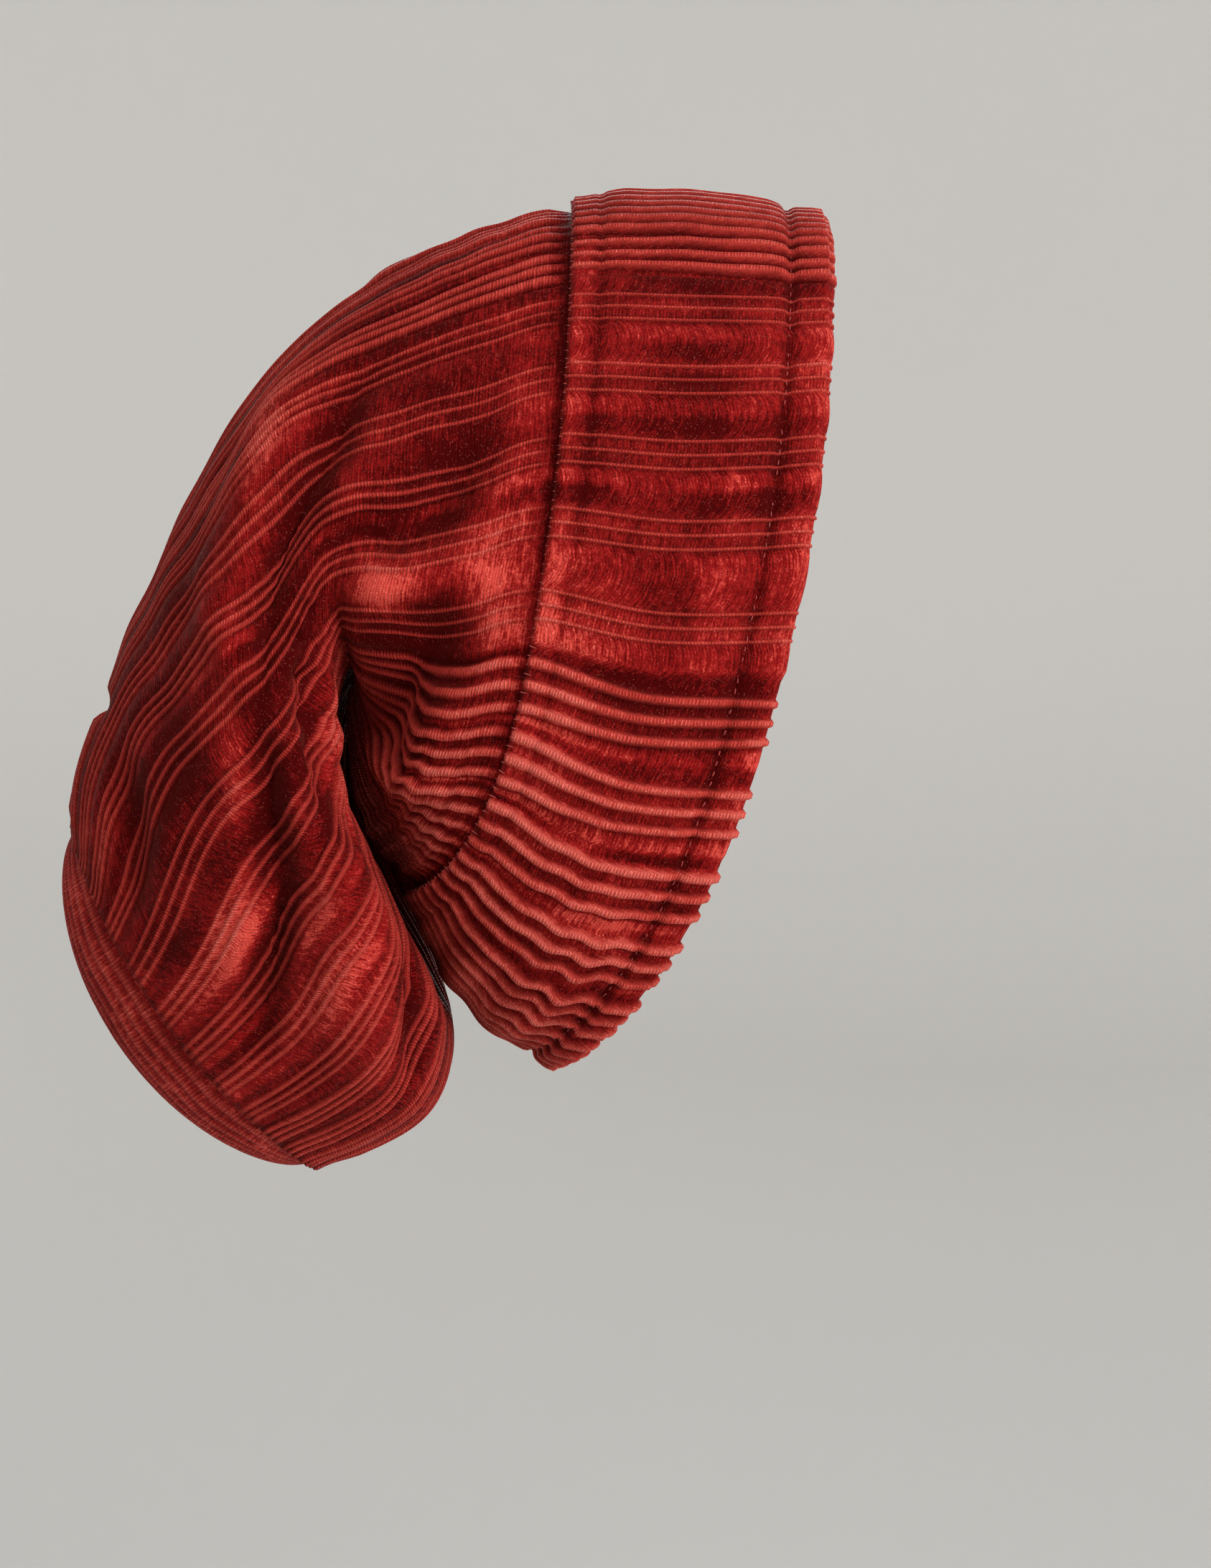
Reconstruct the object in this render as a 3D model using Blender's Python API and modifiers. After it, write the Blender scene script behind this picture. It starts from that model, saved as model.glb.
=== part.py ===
"""Slouchy beanie of pleated velvet, as it is worn: a bag with a doubled cuff and a narrow end panel.

Metres, +Z up, +X towards the face. The origin is the middle of the head's seat inside the cuff.
The bag is lofted through sections. Each runs from the top centre line down the near side (-Y) to
the low centre line and back up the far side. A share of a section is a share of its whole loop,
from 0 at the top centre to 0.5 at the low centre. The pleats follow the cloth from the cuff's
front edge to the end panel, which has its own, along its length.
"""

import math

import bmesh
import bpy
import numpy as np

# Cloth
CUFF_WIDTH = 0.0745
CUFF_WALL = 0.0030
CROWN_WALL = 0.0020
PANEL_WALL = 0.0020
SEWN_GAP = 0.0004
CROWN_TUCK = 0.010
PANEL_TUCK = 0.0012
PLEATS = 32
CROWN_PLEAT_HEIGHT = 0.0014
CUFF_PLEAT_HEIGHT = 0.0012
PANEL_PLEAT_HEIGHT = 0.0010

# The seam where bag and cuff meet
SEAM_HALF_WIDTH = 0.0750
SEAM_TOP_BACK = 0.0178
SEAM_TOP_RISE = 0.1032
SEAM_HEIGHT = 0.2004
SEAM_RAKE = 0.0467

# The bag behind the seam
BAG_REACH = 0.1500
BAG_SHOULDER_DROP = 0.1828
BAG_HANG = 0.0873
CREASE_RISE = 0.0660
CREASE_BACK = 0.0176
FOLD_DEPTH = 0.0100

# The panel that closes the bag's end
PANEL_BULGE = 0.0200
SEAM_MERGE = 0.0001

# Lengths in a section's row are shares. top_back and top_drop are shares of CUFF_WIDTH in front of
# the seam, and of BAG_REACH and BAG_SHOULDER_DROP behind it. low_back and low_rise are shares of
# CUFF_WIDTH in front of it, and of CREASE_BACK and CREASE_RISE behind it. low_hang is a share of
# BAG_HANG, half_width of SEAM_HALF_WIDTH, and the bows of SEAM_HEIGHT. widest_at is a share of the
# section's height and the rounds are a superellipse's powers. twist, lift and sway move the cloth's
# lines round the loop, as shares of a whole turn: twist all one way, lift and sway up or down the sides.
SECTION_COLUMNS = ("name", "top_back", "top_drop", "low_back", "low_rise", "low_hang", "half_width",
                   "widest_at", "top_round", "low_round", "bow_top", "bow_low", "twist", "lift", "sway")
SECTIONS = (
    ("front_edge", -1.00, 0.07, -0.60, -0.69, 0.00, 0.97, 0.52, 2.3, 2.3, 0.088, 0.166, 0.000, 0.036, 0.004),
    ("cuff_middle", -0.51, -0.01, -0.26, -0.44, 0.00, 1.01, 0.54, 2.3, 2.8, 0.068, 0.145, 0.000, 0.018, 0.001),
    ("seam", 0.00, 0.00, 0.00, 0.00, 0.00, 1.00, 0.55, 2.3, 3.0, 0.048, 0.123, 0.000, 0.000, 0.000),
    ("nape", 0.153, 0.029, 0.27, 0.19, 0.00, 0.985, 0.55, 2.3, 2.9, 0.032, 0.085, 0.007, -0.013, 0.002),
    ("occiput", 0.296, 0.076, 0.58, 0.44, 0.00, 0.96, 0.55, 2.2, 2.7, 0.020, 0.050, 0.016, -0.024, 0.005),
    ("brink", 0.439, 0.147, 0.80, 0.80, 0.00, 0.92, 0.56, 2.2, 2.6, 0.005, 0.020, 0.026, -0.035, 0.008),
    ("crease", 0.554, 0.226, 1.00, 1.00, 0.00, 0.89, 0.58, 2.1, 2.8, 0.000, 0.000, 0.032, -0.041, 0.010),
    ("lobe_edge", 0.647, 0.318, 1.26, 0.80, 0.00, 0.87, 0.60, 2.1, 3.2, 0.000, 0.000, 0.025, -0.038, 0.010),
    ("lobe_throat", 0.732, 0.435, 1.14, 0.40, 0.00, 0.87, 0.58, 2.1, 3.2, 0.000, 0.000, 0.007, -0.025, 0.011),
    ("lobe_upper", 0.804, 0.553, 0.50, 0.03, 0.00, 0.87, 0.55, 2.1, 3.1, 0.000, 0.000, -0.015, -0.006, 0.012),
    ("lobe_middle", 0.868, 0.671, -0.28, 0.00, 0.291, 0.84, 0.52, 2.1, 2.9, 0.000, 0.000, -0.033, 0.016, 0.013),
    ("lobe_lower", 0.926, 0.788, -0.59, 0.00, 0.512, 0.77, 0.50, 2.1, 2.7, 0.000, 0.000, -0.044, 0.035, 0.015),
    ("bag_corner", 0.980, 0.912, -0.12, 0.00, 0.783, 0.63, 0.50, 2.1, 2.5, -0.010, -0.010, -0.043, 0.046, 0.017),
    ("end_seam", 0.997, 1.000, 1.71, 0.00, 0.975, 0.42, 0.50, 2.0, 2.0, -0.040, -0.040, -0.020, 0.050, 0.018),
)
SEAM_ROW = 2
CREASE_ROW = 6
LAST_ROW = len(SECTIONS) - 1

# A fold's path is a smooth line through its (row, share) points. Its height and reach are shares of
# FOLD_DEPTH, with a dent's height below 0. forward and drop lean it along +X and down. A crisp of 1
# makes its line a sharp one, and 0 a round one.
FOLD_COLUMNS = ("name", "path", "height", "reach", "forward", "drop", "crisp")
FOLDS = (
    ("main_valley", ((2.9, 0.18), (4.2, 0.262), (6.4, 0.305), (9.6, 0.318)), -0.90, 1.6, 0.0, 0.0, 0.5),
    ("arch", ((3.2, 0.25), (4.2, 0.278), (5.2, 0.31), (6.4, 0.345), (9.0, 0.40)), 0.60, 1.4, 0.10, 0.10, 0.0),
    ("pocket", ((3.1, 0.30), (3.9, 0.325), (4.4, 0.365), (4.4, 0.42)), -1.15, 2.0, 0.0, 0.0, 0.0),
    ("nape_swell", ((2.9, 0.50), (4.2, 0.50), (5.6, 0.50)), 0.70, 2.8, 0.0, 0.0, 0.0),
    ("lobe_hollow", ((6.8, 0.50), (8.4, 0.50), (10.2, 0.50)), -1.60, 3.2, 0.0, 0.0, 0.0),
    ("far_lobe_lip", ((6.2, 0.64), (7.4, 0.615), (8.8, 0.60), (10.2, 0.595)), 0.40, 1.1, 0.9, 0.0, 0.0),
    ("nape_ripple", ((2.8, 0.37), (3.8, 0.41), (4.6, 0.45)), 0.35, 0.8, 0.0, 0.0, 0.0),
    ("inner_ridge", ((5.6, 0.27), (8.0, 0.285), (10.0, 0.272)), 0.45, 1.0, 0.0, 0.0, 0.0),
    ("back_valley", ((4.5, 0.14), (5.7, 0.225), (7.2, 0.244), (8.9, 0.252)), -0.70, 1.2, 0.0, 0.0, 0.6),
    ("back_swell", ((5.6, 0.14), (7.5, 0.18), (9.6, 0.19)), 0.40, 2.0, 0.0, 0.0, 0.0),
    ("lobe_valley", ((9.0, 0.255), (10.4, 0.242), (12.0, 0.28), (12.6, 0.32)), -0.75, 1.1, 0.0, 0.0, 0.7),
    ("lobe_swell", ((9.4, 0.325), (10.8, 0.325), (12.0, 0.36)), 0.50, 1.6, 0.0, 0.0, 0.0),
    ("under_turn", ((9.7, 0.41), (10.8, 0.392), (11.9, 0.42)), -0.60, 1.0, 0.0, 0.0, 0.6),
    ("corner_dent", ((11.3, 0.10), (12.0, 0.135), (12.7, 0.155)), -0.40, 1.1, 0.0, 0.0, 0.3),
    ("back_notch", ((11.05, -0.05), (11.1, 0.0), (11.05, 0.05)), -0.45, 0.6, 0.0, 0.0, 0.5),
    ("back_bump", ((4.3, -0.04), (4.4, 0.0), (4.3, 0.04)), 0.18, 1.4, 0.0, 0.0, 0.0),
    ("far_valley", ((3.0, 0.81), (4.8, 0.73), (7.0, 0.705), (9.4, 0.71)), -0.42, 1.8, 0.0, 0.0, 0.3),
    ("far_arch", ((3.6, 0.73), (5.4, 0.675), (7.4, 0.64), (9.0, 0.60)), 0.45, 1.4, 0.1, 0.1, 0.0),
    ("far_pocket", ((3.2, 0.68), (4.0, 0.645), (4.4, 0.58)), -0.90, 2.0, 0.0, 0.0, 0.0),
    ("far_back_valley", ((5.0, 0.86), (7.0, 0.80), (9.5, 0.77)), -0.60, 1.3, 0.0, 0.0, 0.5),
    ("far_lobe_valley", ((9.6, 0.72), (11.0, 0.735), (12.4, 0.68)), -0.70, 1.2, 0.0, 0.0, 0.6),
)
FOLD_WINDOW_ROWS = 2.2
FOLD_START_ROWS = 0.8
PLEAT_START_ROWS = 0.4
CREASE_FADE_ROWS = 3.0
CREASE_FADE_SHARE = 0.20
END_PLEAT = 0.4
CALM_ROWS = 1.5
CALM_SHARE = 0.12
CALM_REACH = 0.12
FOLD_SAMPLES = 24
FOLD_TAPER = 0.30
CRISP_POWER = 1.6

# How far apart the pleats stand at a share of the loop: spread on the sides, closed at top and nape.
SPACING_COLUMNS = ("share", "spacing")
PLEAT_SPACING = (
    (0.00, 0.80),
    (0.09, 0.86),
    (0.17, 1.14),
    (0.32, 1.14),
    (0.40, 0.95),
    (0.50, 0.72),
)
PLEAT_CROWDING = 0.4

# The cuff's outer face: back is a share of CUFF_WIDTH from its front fold, lift of CUFF_WALL.
CUFF_COLUMNS = ("name", "back", "lift", "pleat")
CUFF_ROWS = (
    ("hem_roll", 0.060, 0.28, 0.9),
    ("channel", 0.165, -0.10, 0.5),
    ("body_front", 0.280, 0.22, 1.0),
    ("body_middle", 0.560, 0.30, 1.0),
    ("body_rear", 0.780, 0.20, 1.0),
    ("second_line", 0.870, -0.05, 0.6),
    ("rear_roll", 0.950, 0.15, 0.5),
)

PLEAT_PROFILE = (1.0, 0.0)
COLUMNS_A_PLEAT = len(PLEAT_PROFILE)
CROWN_ROWS = (2.4, 2.8, 3.2, 3.6, 4.0, 4.3, 4.6, 4.9, 5.2, 5.5, 5.8, 6.0, 6.2, 6.5, 6.8, 7.1, 7.5, 7.9,
              8.3, 8.8, 9.3, 9.8, 10.3, 10.8, 11.3, 11.8, 12.2, 12.6, 13.0)
SECTION_STEPS = 120
SHARE_STEPS = 720
FRONT_TURN = (-90, -40, 10, 55)
REAR_TURN = (40, -90)
PANEL_STEPS_ALONG = 20
PANEL_PLEATS = 6
NORMAL_STEP_ROWS = 0.02
NORMAL_STEP_SHARE = 0.006


def column(name):
    place = SECTION_COLUMNS.index(name)
    return np.array([row[place] for row in SECTIONS], float)


def by_zone(shares, before_seam, behind_seam):
    """Lengths of shares that follow one size in front of the seam and another behind it."""
    rows = np.arange(len(SECTIONS))
    return shares * np.where(rows < SEAM_ROW, before_seam, behind_seam)


def section_sizes():
    """The sections' sizes in metres, each an array with one value for each row."""
    low_z = SEAM_TOP_RISE - SEAM_HEIGHT + by_zone(column("low_rise"), CUFF_WIDTH, CREASE_RISE)
    return {
        "top_x": -SEAM_TOP_BACK - by_zone(column("top_back"), CUFF_WIDTH, BAG_REACH),
        "top_z": SEAM_TOP_RISE - by_zone(column("top_drop"), CUFF_WIDTH, BAG_SHOULDER_DROP),
        "low_x": -SEAM_TOP_BACK - SEAM_RAKE - by_zone(column("low_back"), CUFF_WIDTH, CREASE_BACK),
        "low_z": low_z - column("low_hang") * BAG_HANG,
        "half_width": column("half_width") * SEAM_HALF_WIDTH,
        "widest_at": column("widest_at"),
        "top_round": column("top_round"),
        "low_round": column("low_round"),
        "bow_top": column("bow_top") * SEAM_HEIGHT,
        "bow_low": column("bow_low") * SEAM_HEIGHT,
        "twist": column("twist"),
        "lift": column("lift"),
        "sway": column("sway"),
    }


SIZES = section_sizes()


def smooth_between(values, place):
    """A smooth curve through values, a list of numbers or points, read at a place between two of them."""
    values = np.asarray(values, float)
    knots = np.concatenate([[2 * values[0] - values[1]], values, [2 * values[-1] - values[-2]]])
    first = int(min(max(math.floor(place), 0), len(values) - 2))
    part = place - first
    a, b, c, d = knots[first:first + 4]
    return 0.5 * (2 * b + (c - a) * part + (2 * a - 5 * b + 4 * c - d) * part**2
                  + (3 * b - 3 * c + d - a) * part**3)


def section_loop(row):
    """(points, sizes): one section's closed loop, from the top centre down the near side and back."""
    size = {name: float(smooth_between(values, row)) for name, values in SIZES.items()}
    turn = np.linspace(0, math.pi, SECTION_STEPS + 1)
    upper = turn <= math.pi / 2
    roundness = np.where(upper, size["top_round"], size["low_round"])
    along = np.abs(np.cos(turn)) ** (2 / roundness)
    across = np.abs(np.sin(turn)) ** (2 / roundness)
    widest = size["widest_at"]
    share = np.where(upper, widest * (1 - along), widest + (1 - widest) * along)
    top = np.array([size["top_x"], size["top_z"]])
    chord = np.array([size["low_x"], size["low_z"]]) - top
    forward = np.array([-chord[1], chord[0]]) / np.linalg.norm(chord)
    bow = (size["bow_top"] + (size["bow_low"] - size["bow_top"]) * share) * across**2
    side = top + share[:, None] * chord + bow[:, None] * forward
    near = np.stack([side[:, 0], -across * size["half_width"], side[:, 1]], axis=1)
    far = near[-2:0:-1] * (1, -1, 1)
    return np.concatenate([near, far]), size


def points_round(loop, shares):
    """Points of a closed loop at shares of its length."""
    closed = np.concatenate([loop, loop[:1]])
    run = np.concatenate([[0], np.cumsum(np.linalg.norm(np.diff(closed, axis=0), axis=1))])
    at = np.mod(shares, 1.0) * run[-1]
    return np.stack([np.interp(at, run, closed[:, k]) for k in range(3)], axis=1)


def spacing_at(shares):
    places, spacings = zip(*PLEAT_SPACING)
    return np.interp(np.minimum(shares, 1 - shares), places, spacings)


def cloth_shares(count):
    """Shares of a loop where evenly counted lines of the cloth lie, by the pleats' spacing."""
    fine = np.linspace(0, 1, SHARE_STEPS + 1)
    density = 1 / spacing_at(fine)
    run = np.concatenate([[0], np.cumsum((density[1:] + density[:-1]) / 2)])
    return np.interp(np.arange(count) / count, run / run[-1], fine)


def place_on_row(cloth, size):
    """Shares of a row's loop where lines of the cloth lie, from the row's sizes."""
    lift = size["lift"] * np.sin(2 * math.pi * cloth)
    sway = size["sway"] * np.sin(4 * math.pi * cloth)
    return cloth + size["twist"] - lift - sway


def smooth_surface(rows, cloth):
    """(points, normals, shares) of the bag without folds, on a grid of rows and lines of the cloth."""
    points, shares = [], []
    for row in rows:
        loop, size = section_loop(row)
        shares.append(place_on_row(cloth, size))
        points.append(points_round(loop, shares[-1]))
    along_row, round_loop = [], []
    for row, share in zip(rows, shares):
        ahead, behind = section_loop(row + NORMAL_STEP_ROWS)[0], section_loop(row - NORMAL_STEP_ROWS)[0]
        along_row.append(points_round(ahead, share) - points_round(behind, share))
        loop = section_loop(row)[0]
        step = NORMAL_STEP_SHARE
        round_loop.append(points_round(loop, share + step) - points_round(loop, share - step))
    normals = np.cross(np.array(along_row), np.array(round_loop))
    normals /= np.linalg.norm(normals, axis=2, keepdims=True)
    return np.array(points), normals, np.array(shares)


def fold_paths():
    """Each fold's sampled path: rows, shares, points in space and a taper towards its two ends."""
    paths = []
    for fold in FOLDS:
        path = fold[FOLD_COLUMNS.index("path")]
        places = np.linspace(0, len(path) - 1, FOLD_SAMPLES)
        knots = np.array([smooth_between(path, place) for place in places])
        points = np.array([points_round(section_loop(row)[0], np.array([share]))[0] for row, share in knots])
        ends = np.minimum(np.linspace(0, 1, FOLD_SAMPLES), np.linspace(1, 0, FOLD_SAMPLES))
        taper = np.sin(np.clip(ends / FOLD_TAPER, 0, 1) * math.pi / 2)
        paths.append((knots[:, 0], points, taper))
    return paths


def calm_by_crease(rows, shares):
    """A share of the folds' height that is left near the crease's brink, where the rows crowd together."""
    row_near = np.clip(1 - np.abs(rows - CREASE_ROW) / CALM_ROWS, 0, 1)
    share_near = np.clip(1 - np.abs(np.abs(np.mod(shares, 1.0) - 0.5) - CALM_SHARE) / CALM_REACH, 0, 1)
    return 1 - np.sin(row_near * math.pi / 2) * np.sin(share_near * math.pi / 2)


def folded(rows, points, normals, shares):
    """The grid's points moved by every fold, along the smooth surface's normals and each fold's lean."""
    moved = points.copy()
    row_grid = np.asarray(rows, float)[:, None]
    allowed = np.clip((row_grid - SEAM_ROW) / FOLD_START_ROWS, 0, 1) * calm_by_crease(row_grid, shares)
    for fold, (path_rows, path_points, taper) in zip(FOLDS, fold_paths()):
        _, _, height, reach, forward, drop, crisp = fold
        strength = np.zeros(points.shape[:2])
        for path_row, path_point, share in zip(path_rows, path_points, taper):
            near = np.linalg.norm(points - path_point, axis=2) / (reach * FOLD_DEPTH)
            window = np.clip(1 - np.abs(row_grid - path_row) / FOLD_WINDOW_ROWS, 0, 1)
            window = window**2 * (3 - 2 * window)
            near = np.clip(near, 0, 1)
            shape = (1 - crisp) * (1 - near**2) ** 2 + crisp * (1 - near) ** CRISP_POWER
            strength = np.maximum(strength, shape * share * window)
        lean = np.array([forward, 0, -drop])
        way = normals + lean
        moved += (height * FOLD_DEPTH * strength * allowed)[..., None] * way
    return moved


def pleats(columns):
    """Each column's pleat height as a share, higher where the pleats stand close together."""
    profile = np.resize(PLEAT_PROFILE, columns)
    widest = max(spacing for _, spacing in PLEAT_SPACING)
    return profile * (widest / spacing_at(cloth_shares(columns))) ** PLEAT_CROWDING


def crown_pleat_fade(row, shares):
    """How much of the pleats stands out on a row: none under the cuff or down in the crease."""
    from_seam = np.clip((row - SEAM_ROW) / PLEAT_START_ROWS, 0, 1)
    from_low = np.abs(np.mod(shares, 1.0) - 0.5)
    in_crease = (np.clip(1 - abs(row - CREASE_ROW) / CREASE_FADE_ROWS, 0, 1)
                 * np.clip(1 - from_low / CREASE_FADE_SHARE, 0, 1))
    return from_seam * (1 - in_crease) * (END_PLEAT if row == LAST_ROW else 1.0)


# Building the meshes


def make_material(name, colour, roughness):
    material = bpy.data.materials.new(name)
    material.use_nodes = True
    shader = material.node_tree.nodes["Principled BSDF"]
    shader.inputs["Base Color"].default_value = (*colour, 1.0)
    shader.inputs["Roughness"].default_value = roughness
    shader.inputs["Metallic"].default_value = 0.0
    return material


def add_object(name, points, faces, material):
    mesh = bpy.data.meshes.new(name)
    mesh.from_pydata([tuple(point) for point in points], [], faces)
    mesh.materials.append(material)
    mesh.shade_smooth()
    piece = bpy.data.objects.new(name, mesh)
    collection.objects.link(piece)
    return piece


def closed_wall(name, rings, material):
    """A closed body from rings that run once round its wall's profile, each closed on itself."""
    count, columns = len(rings), len(rings[0])
    faces = []
    for ring in range(count):
        following = (ring + 1) % count
        for place in range(columns):
            beside = (place + 1) % columns
            faces.append((ring * columns + place, ring * columns + beside,
                          following * columns + beside, following * columns + place))
    return add_object(name, np.concatenate(rings), faces, material)


def crown_walls():
    """The crown's outer and inner rings, from the one tucked under the cuff to the bag's end."""
    columns = PLEATS * COLUMNS_A_PLEAT
    tuck_row = SEAM_ROW - SEAM_ROW * CROWN_TUCK / CUFF_WIDTH
    rows = np.concatenate([[tuck_row, SEAM_ROW], CROWN_ROWS])
    smooth, normals, shares = smooth_surface(rows, cloth_shares(columns))
    face = folded(rows, smooth, normals, shares)
    height = CROWN_PLEAT_HEIGHT * pleats(columns)
    fade = np.array([crown_pleat_fade(row, share) for row, share in zip(rows, shares)])
    outer = face + (height * fade)[..., None] * normals
    inner = face - CROWN_WALL * normals
    return outer, inner


def make_crown(material):
    outer, inner = crown_walls()
    return closed_wall("crown", list(outer) + list(inner[::-1]), material)


def cuff_profile():
    """The cuff's profile as (back, height over the crown's face, pleat share), once round its wall."""
    middle = SEWN_GAP + CUFF_WALL / 2
    turn_radius = CUFF_WALL / 2
    profile = [(CUFF_WIDTH - CROWN_TUCK, SEWN_GAP, 0.0), (CUFF_WIDTH / 2, SEWN_GAP, 0.0)]
    for angle in FRONT_TURN:
        turn = math.radians(angle)
        profile.append((turn_radius * (1 - math.cos(turn)), middle + turn_radius * math.sin(turn), 0.0))
    for _, back, lift, pleat in CUFF_ROWS:
        profile.append((back * CUFF_WIDTH, SEWN_GAP + CUFF_WALL * (1 + lift), pleat))
    for angle in REAR_TURN:
        turn = math.radians(angle)
        back = CUFF_WIDTH - turn_radius * (1 - math.cos(turn))
        profile.append((back, middle + turn_radius * math.sin(turn), 0.0))
    return profile


def make_cuff(material):
    columns = PLEATS * COLUMNS_A_PLEAT
    height = CUFF_PLEAT_HEIGHT * pleats(columns)
    profile = cuff_profile()
    rows = [SEAM_ROW * back / CUFF_WIDTH for back, _, _ in profile]
    smooth, normals, _ = smooth_surface(rows, cloth_shares(columns))
    rings = []
    for points, ways, (_, over, pleat) in zip(smooth, normals, profile):
        rings.append(points + (over + pleat * height)[:, None] * ways)
    return closed_wall("cuff", rings, material)


def make_end_panel(material, crown_inner):
    """A narrow bulged panel just inside the bag's end, pleated along its length."""
    steps = PANEL_STEPS_ALONG
    across = PANEL_PLEATS * 2
    last_but_one, last = crown_inner[-2:]
    tuck = PANEL_TUCK / np.linalg.norm(last - last_but_one, axis=1).mean()
    rim = last + (last_but_one - last) * tuck
    middle_of_rim = rim.mean(axis=0)
    even = np.arange(2 * steps) / (2 * steps)
    loop = points_round(rim, even - SECTIONS[LAST_ROW][SECTION_COLUMNS.index("twist")])
    inward = middle_of_rim - loop
    loop = loop + SEWN_GAP * inward / np.linalg.norm(inward, axis=1, keepdims=True)
    near = loop[:steps + 1]
    far = np.concatenate([loop[:1], loop[:steps - 1:-1]])
    chord = near[-1] - near[0]
    outward = np.array([chord[2], 0, -chord[0]]) / np.linalg.norm(chord)
    outward *= -math.copysign(1, outward[0])
    half_widths = np.linalg.norm(near - far, axis=1) / 2
    points, faces = [], []
    for step in range(steps + 1):
        middle, half = (near[step] + far[step]) / 2, (near[step] - far[step]) / 2
        fullness = half_widths[step] / half_widths.max()
        for place in range(across + 1):
            share = 1 - 2 * place / across
            lift = PANEL_BULGE * fullness * (1 - share**2)
            lift += PANEL_PLEAT_HEIGHT * fullness * (place % 2)
            points.append(middle + share * half + lift * outward)
    for step in range(steps):
        for place in range(across):
            corner = step * (across + 1) + place
            faces.append((corner, corner + 1, corner + across + 2, corner + across + 1))
    panel = add_object("end_panel", points, faces, material)
    shape = bmesh.new()
    shape.from_mesh(panel.data)
    bmesh.ops.remove_doubles(shape, verts=shape.verts, dist=SEAM_MERGE)
    shape.to_mesh(panel.data)
    shape.free()
    wall = panel.modifiers.new("wall", "SOLIDIFY")
    wall.thickness = PANEL_WALL
    wall.offset = -1.0
    return panel


def point_faces_out(piece):
    shape = bmesh.new()
    shape.from_mesh(piece.data)
    bmesh.ops.recalc_face_normals(shape, faces=shape.faces)
    bmesh.ops.triangulate(shape, faces=shape.faces, quad_method="SHORT_EDGE")
    shape.to_mesh(piece.data)
    shape.free()


for old in list(bpy.data.objects):
    bpy.data.objects.remove(old, do_unlink=True)

collection = bpy.data.collections.new("slouchy_beanie")
bpy.context.scene.collection.children.link(collection)

velvet = make_material("pleated_velvet", (0.36, 0.030, 0.022), 0.55)
cuff_velvet = make_material("cuff_velvet", (0.42, 0.040, 0.028), 0.52)
panel_velvet = make_material("panel_velvet", (0.32, 0.040, 0.030), 0.60)

for piece in (make_crown(velvet), make_cuff(cuff_velvet), make_end_panel(panel_velvet, crown_walls()[1])):
    point_faces_out(piece)
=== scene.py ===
"""Slouchy beanie of pleated crushed velvet: its cloth, folds, seams and stitches, and a studio stage.

Metres, +Z up, +X towards the face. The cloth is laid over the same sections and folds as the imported
part, with every pleat, pinch and crumple at its real size. A row is a place along the bag, from the
cuff's front edge at 0 to the end panel's seam. A share is a place on a row's loop, from 0 at the top
centre down the near side (-Y) to 0.5 at the low centre and back up the far side.
"""

import math

import bmesh
import bpy
import numpy as np
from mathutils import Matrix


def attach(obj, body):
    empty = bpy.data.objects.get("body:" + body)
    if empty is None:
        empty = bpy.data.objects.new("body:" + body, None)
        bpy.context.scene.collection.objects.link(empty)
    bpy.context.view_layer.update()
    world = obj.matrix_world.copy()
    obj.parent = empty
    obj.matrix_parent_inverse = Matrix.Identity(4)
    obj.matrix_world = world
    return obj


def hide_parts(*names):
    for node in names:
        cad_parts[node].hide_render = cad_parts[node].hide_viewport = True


bl_info = {
    "name": "Slouchy Beanie",
    "version": (1, 0, 0),
    "blender": (4, 5, 0),
    "location": "3D View > Sidebar > Beanie",
    "description": "Makes a slouchy beanie of pleated velvet, its seams and a plain studio stage",
    "category": "Add Mesh",
}

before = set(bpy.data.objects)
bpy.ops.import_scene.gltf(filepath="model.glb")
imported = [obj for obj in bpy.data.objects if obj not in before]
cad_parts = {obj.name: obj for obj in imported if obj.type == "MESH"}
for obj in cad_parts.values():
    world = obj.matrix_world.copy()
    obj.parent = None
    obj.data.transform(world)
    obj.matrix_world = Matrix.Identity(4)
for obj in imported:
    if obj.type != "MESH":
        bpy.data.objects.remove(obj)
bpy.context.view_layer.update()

# Cloth, as in the part's source
CUFF_WIDTH = 0.0745
CUFF_WALL = 0.0030
CROWN_WALL = 0.0020
PANEL_WALL = 0.0020
SEWN_GAP = 0.0004
CROWN_TUCK = 0.010
PANEL_TUCK = 0.0012
PLEATS = 32

# The seam where bag and cuff meet, and the bag behind it
SEAM_HALF_WIDTH = 0.0750
SEAM_TOP_BACK = 0.0178
SEAM_TOP_RISE = 0.1032
SEAM_HEIGHT = 0.2004
SEAM_RAKE = 0.0467
BAG_REACH = 0.1500
BAG_SHOULDER_DROP = 0.1828
BAG_HANG = 0.0873
CREASE_RISE = 0.0660
CREASE_BACK = 0.0176
FOLD_DEPTH = 0.0100
PANEL_BULGE = 0.0200

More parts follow.
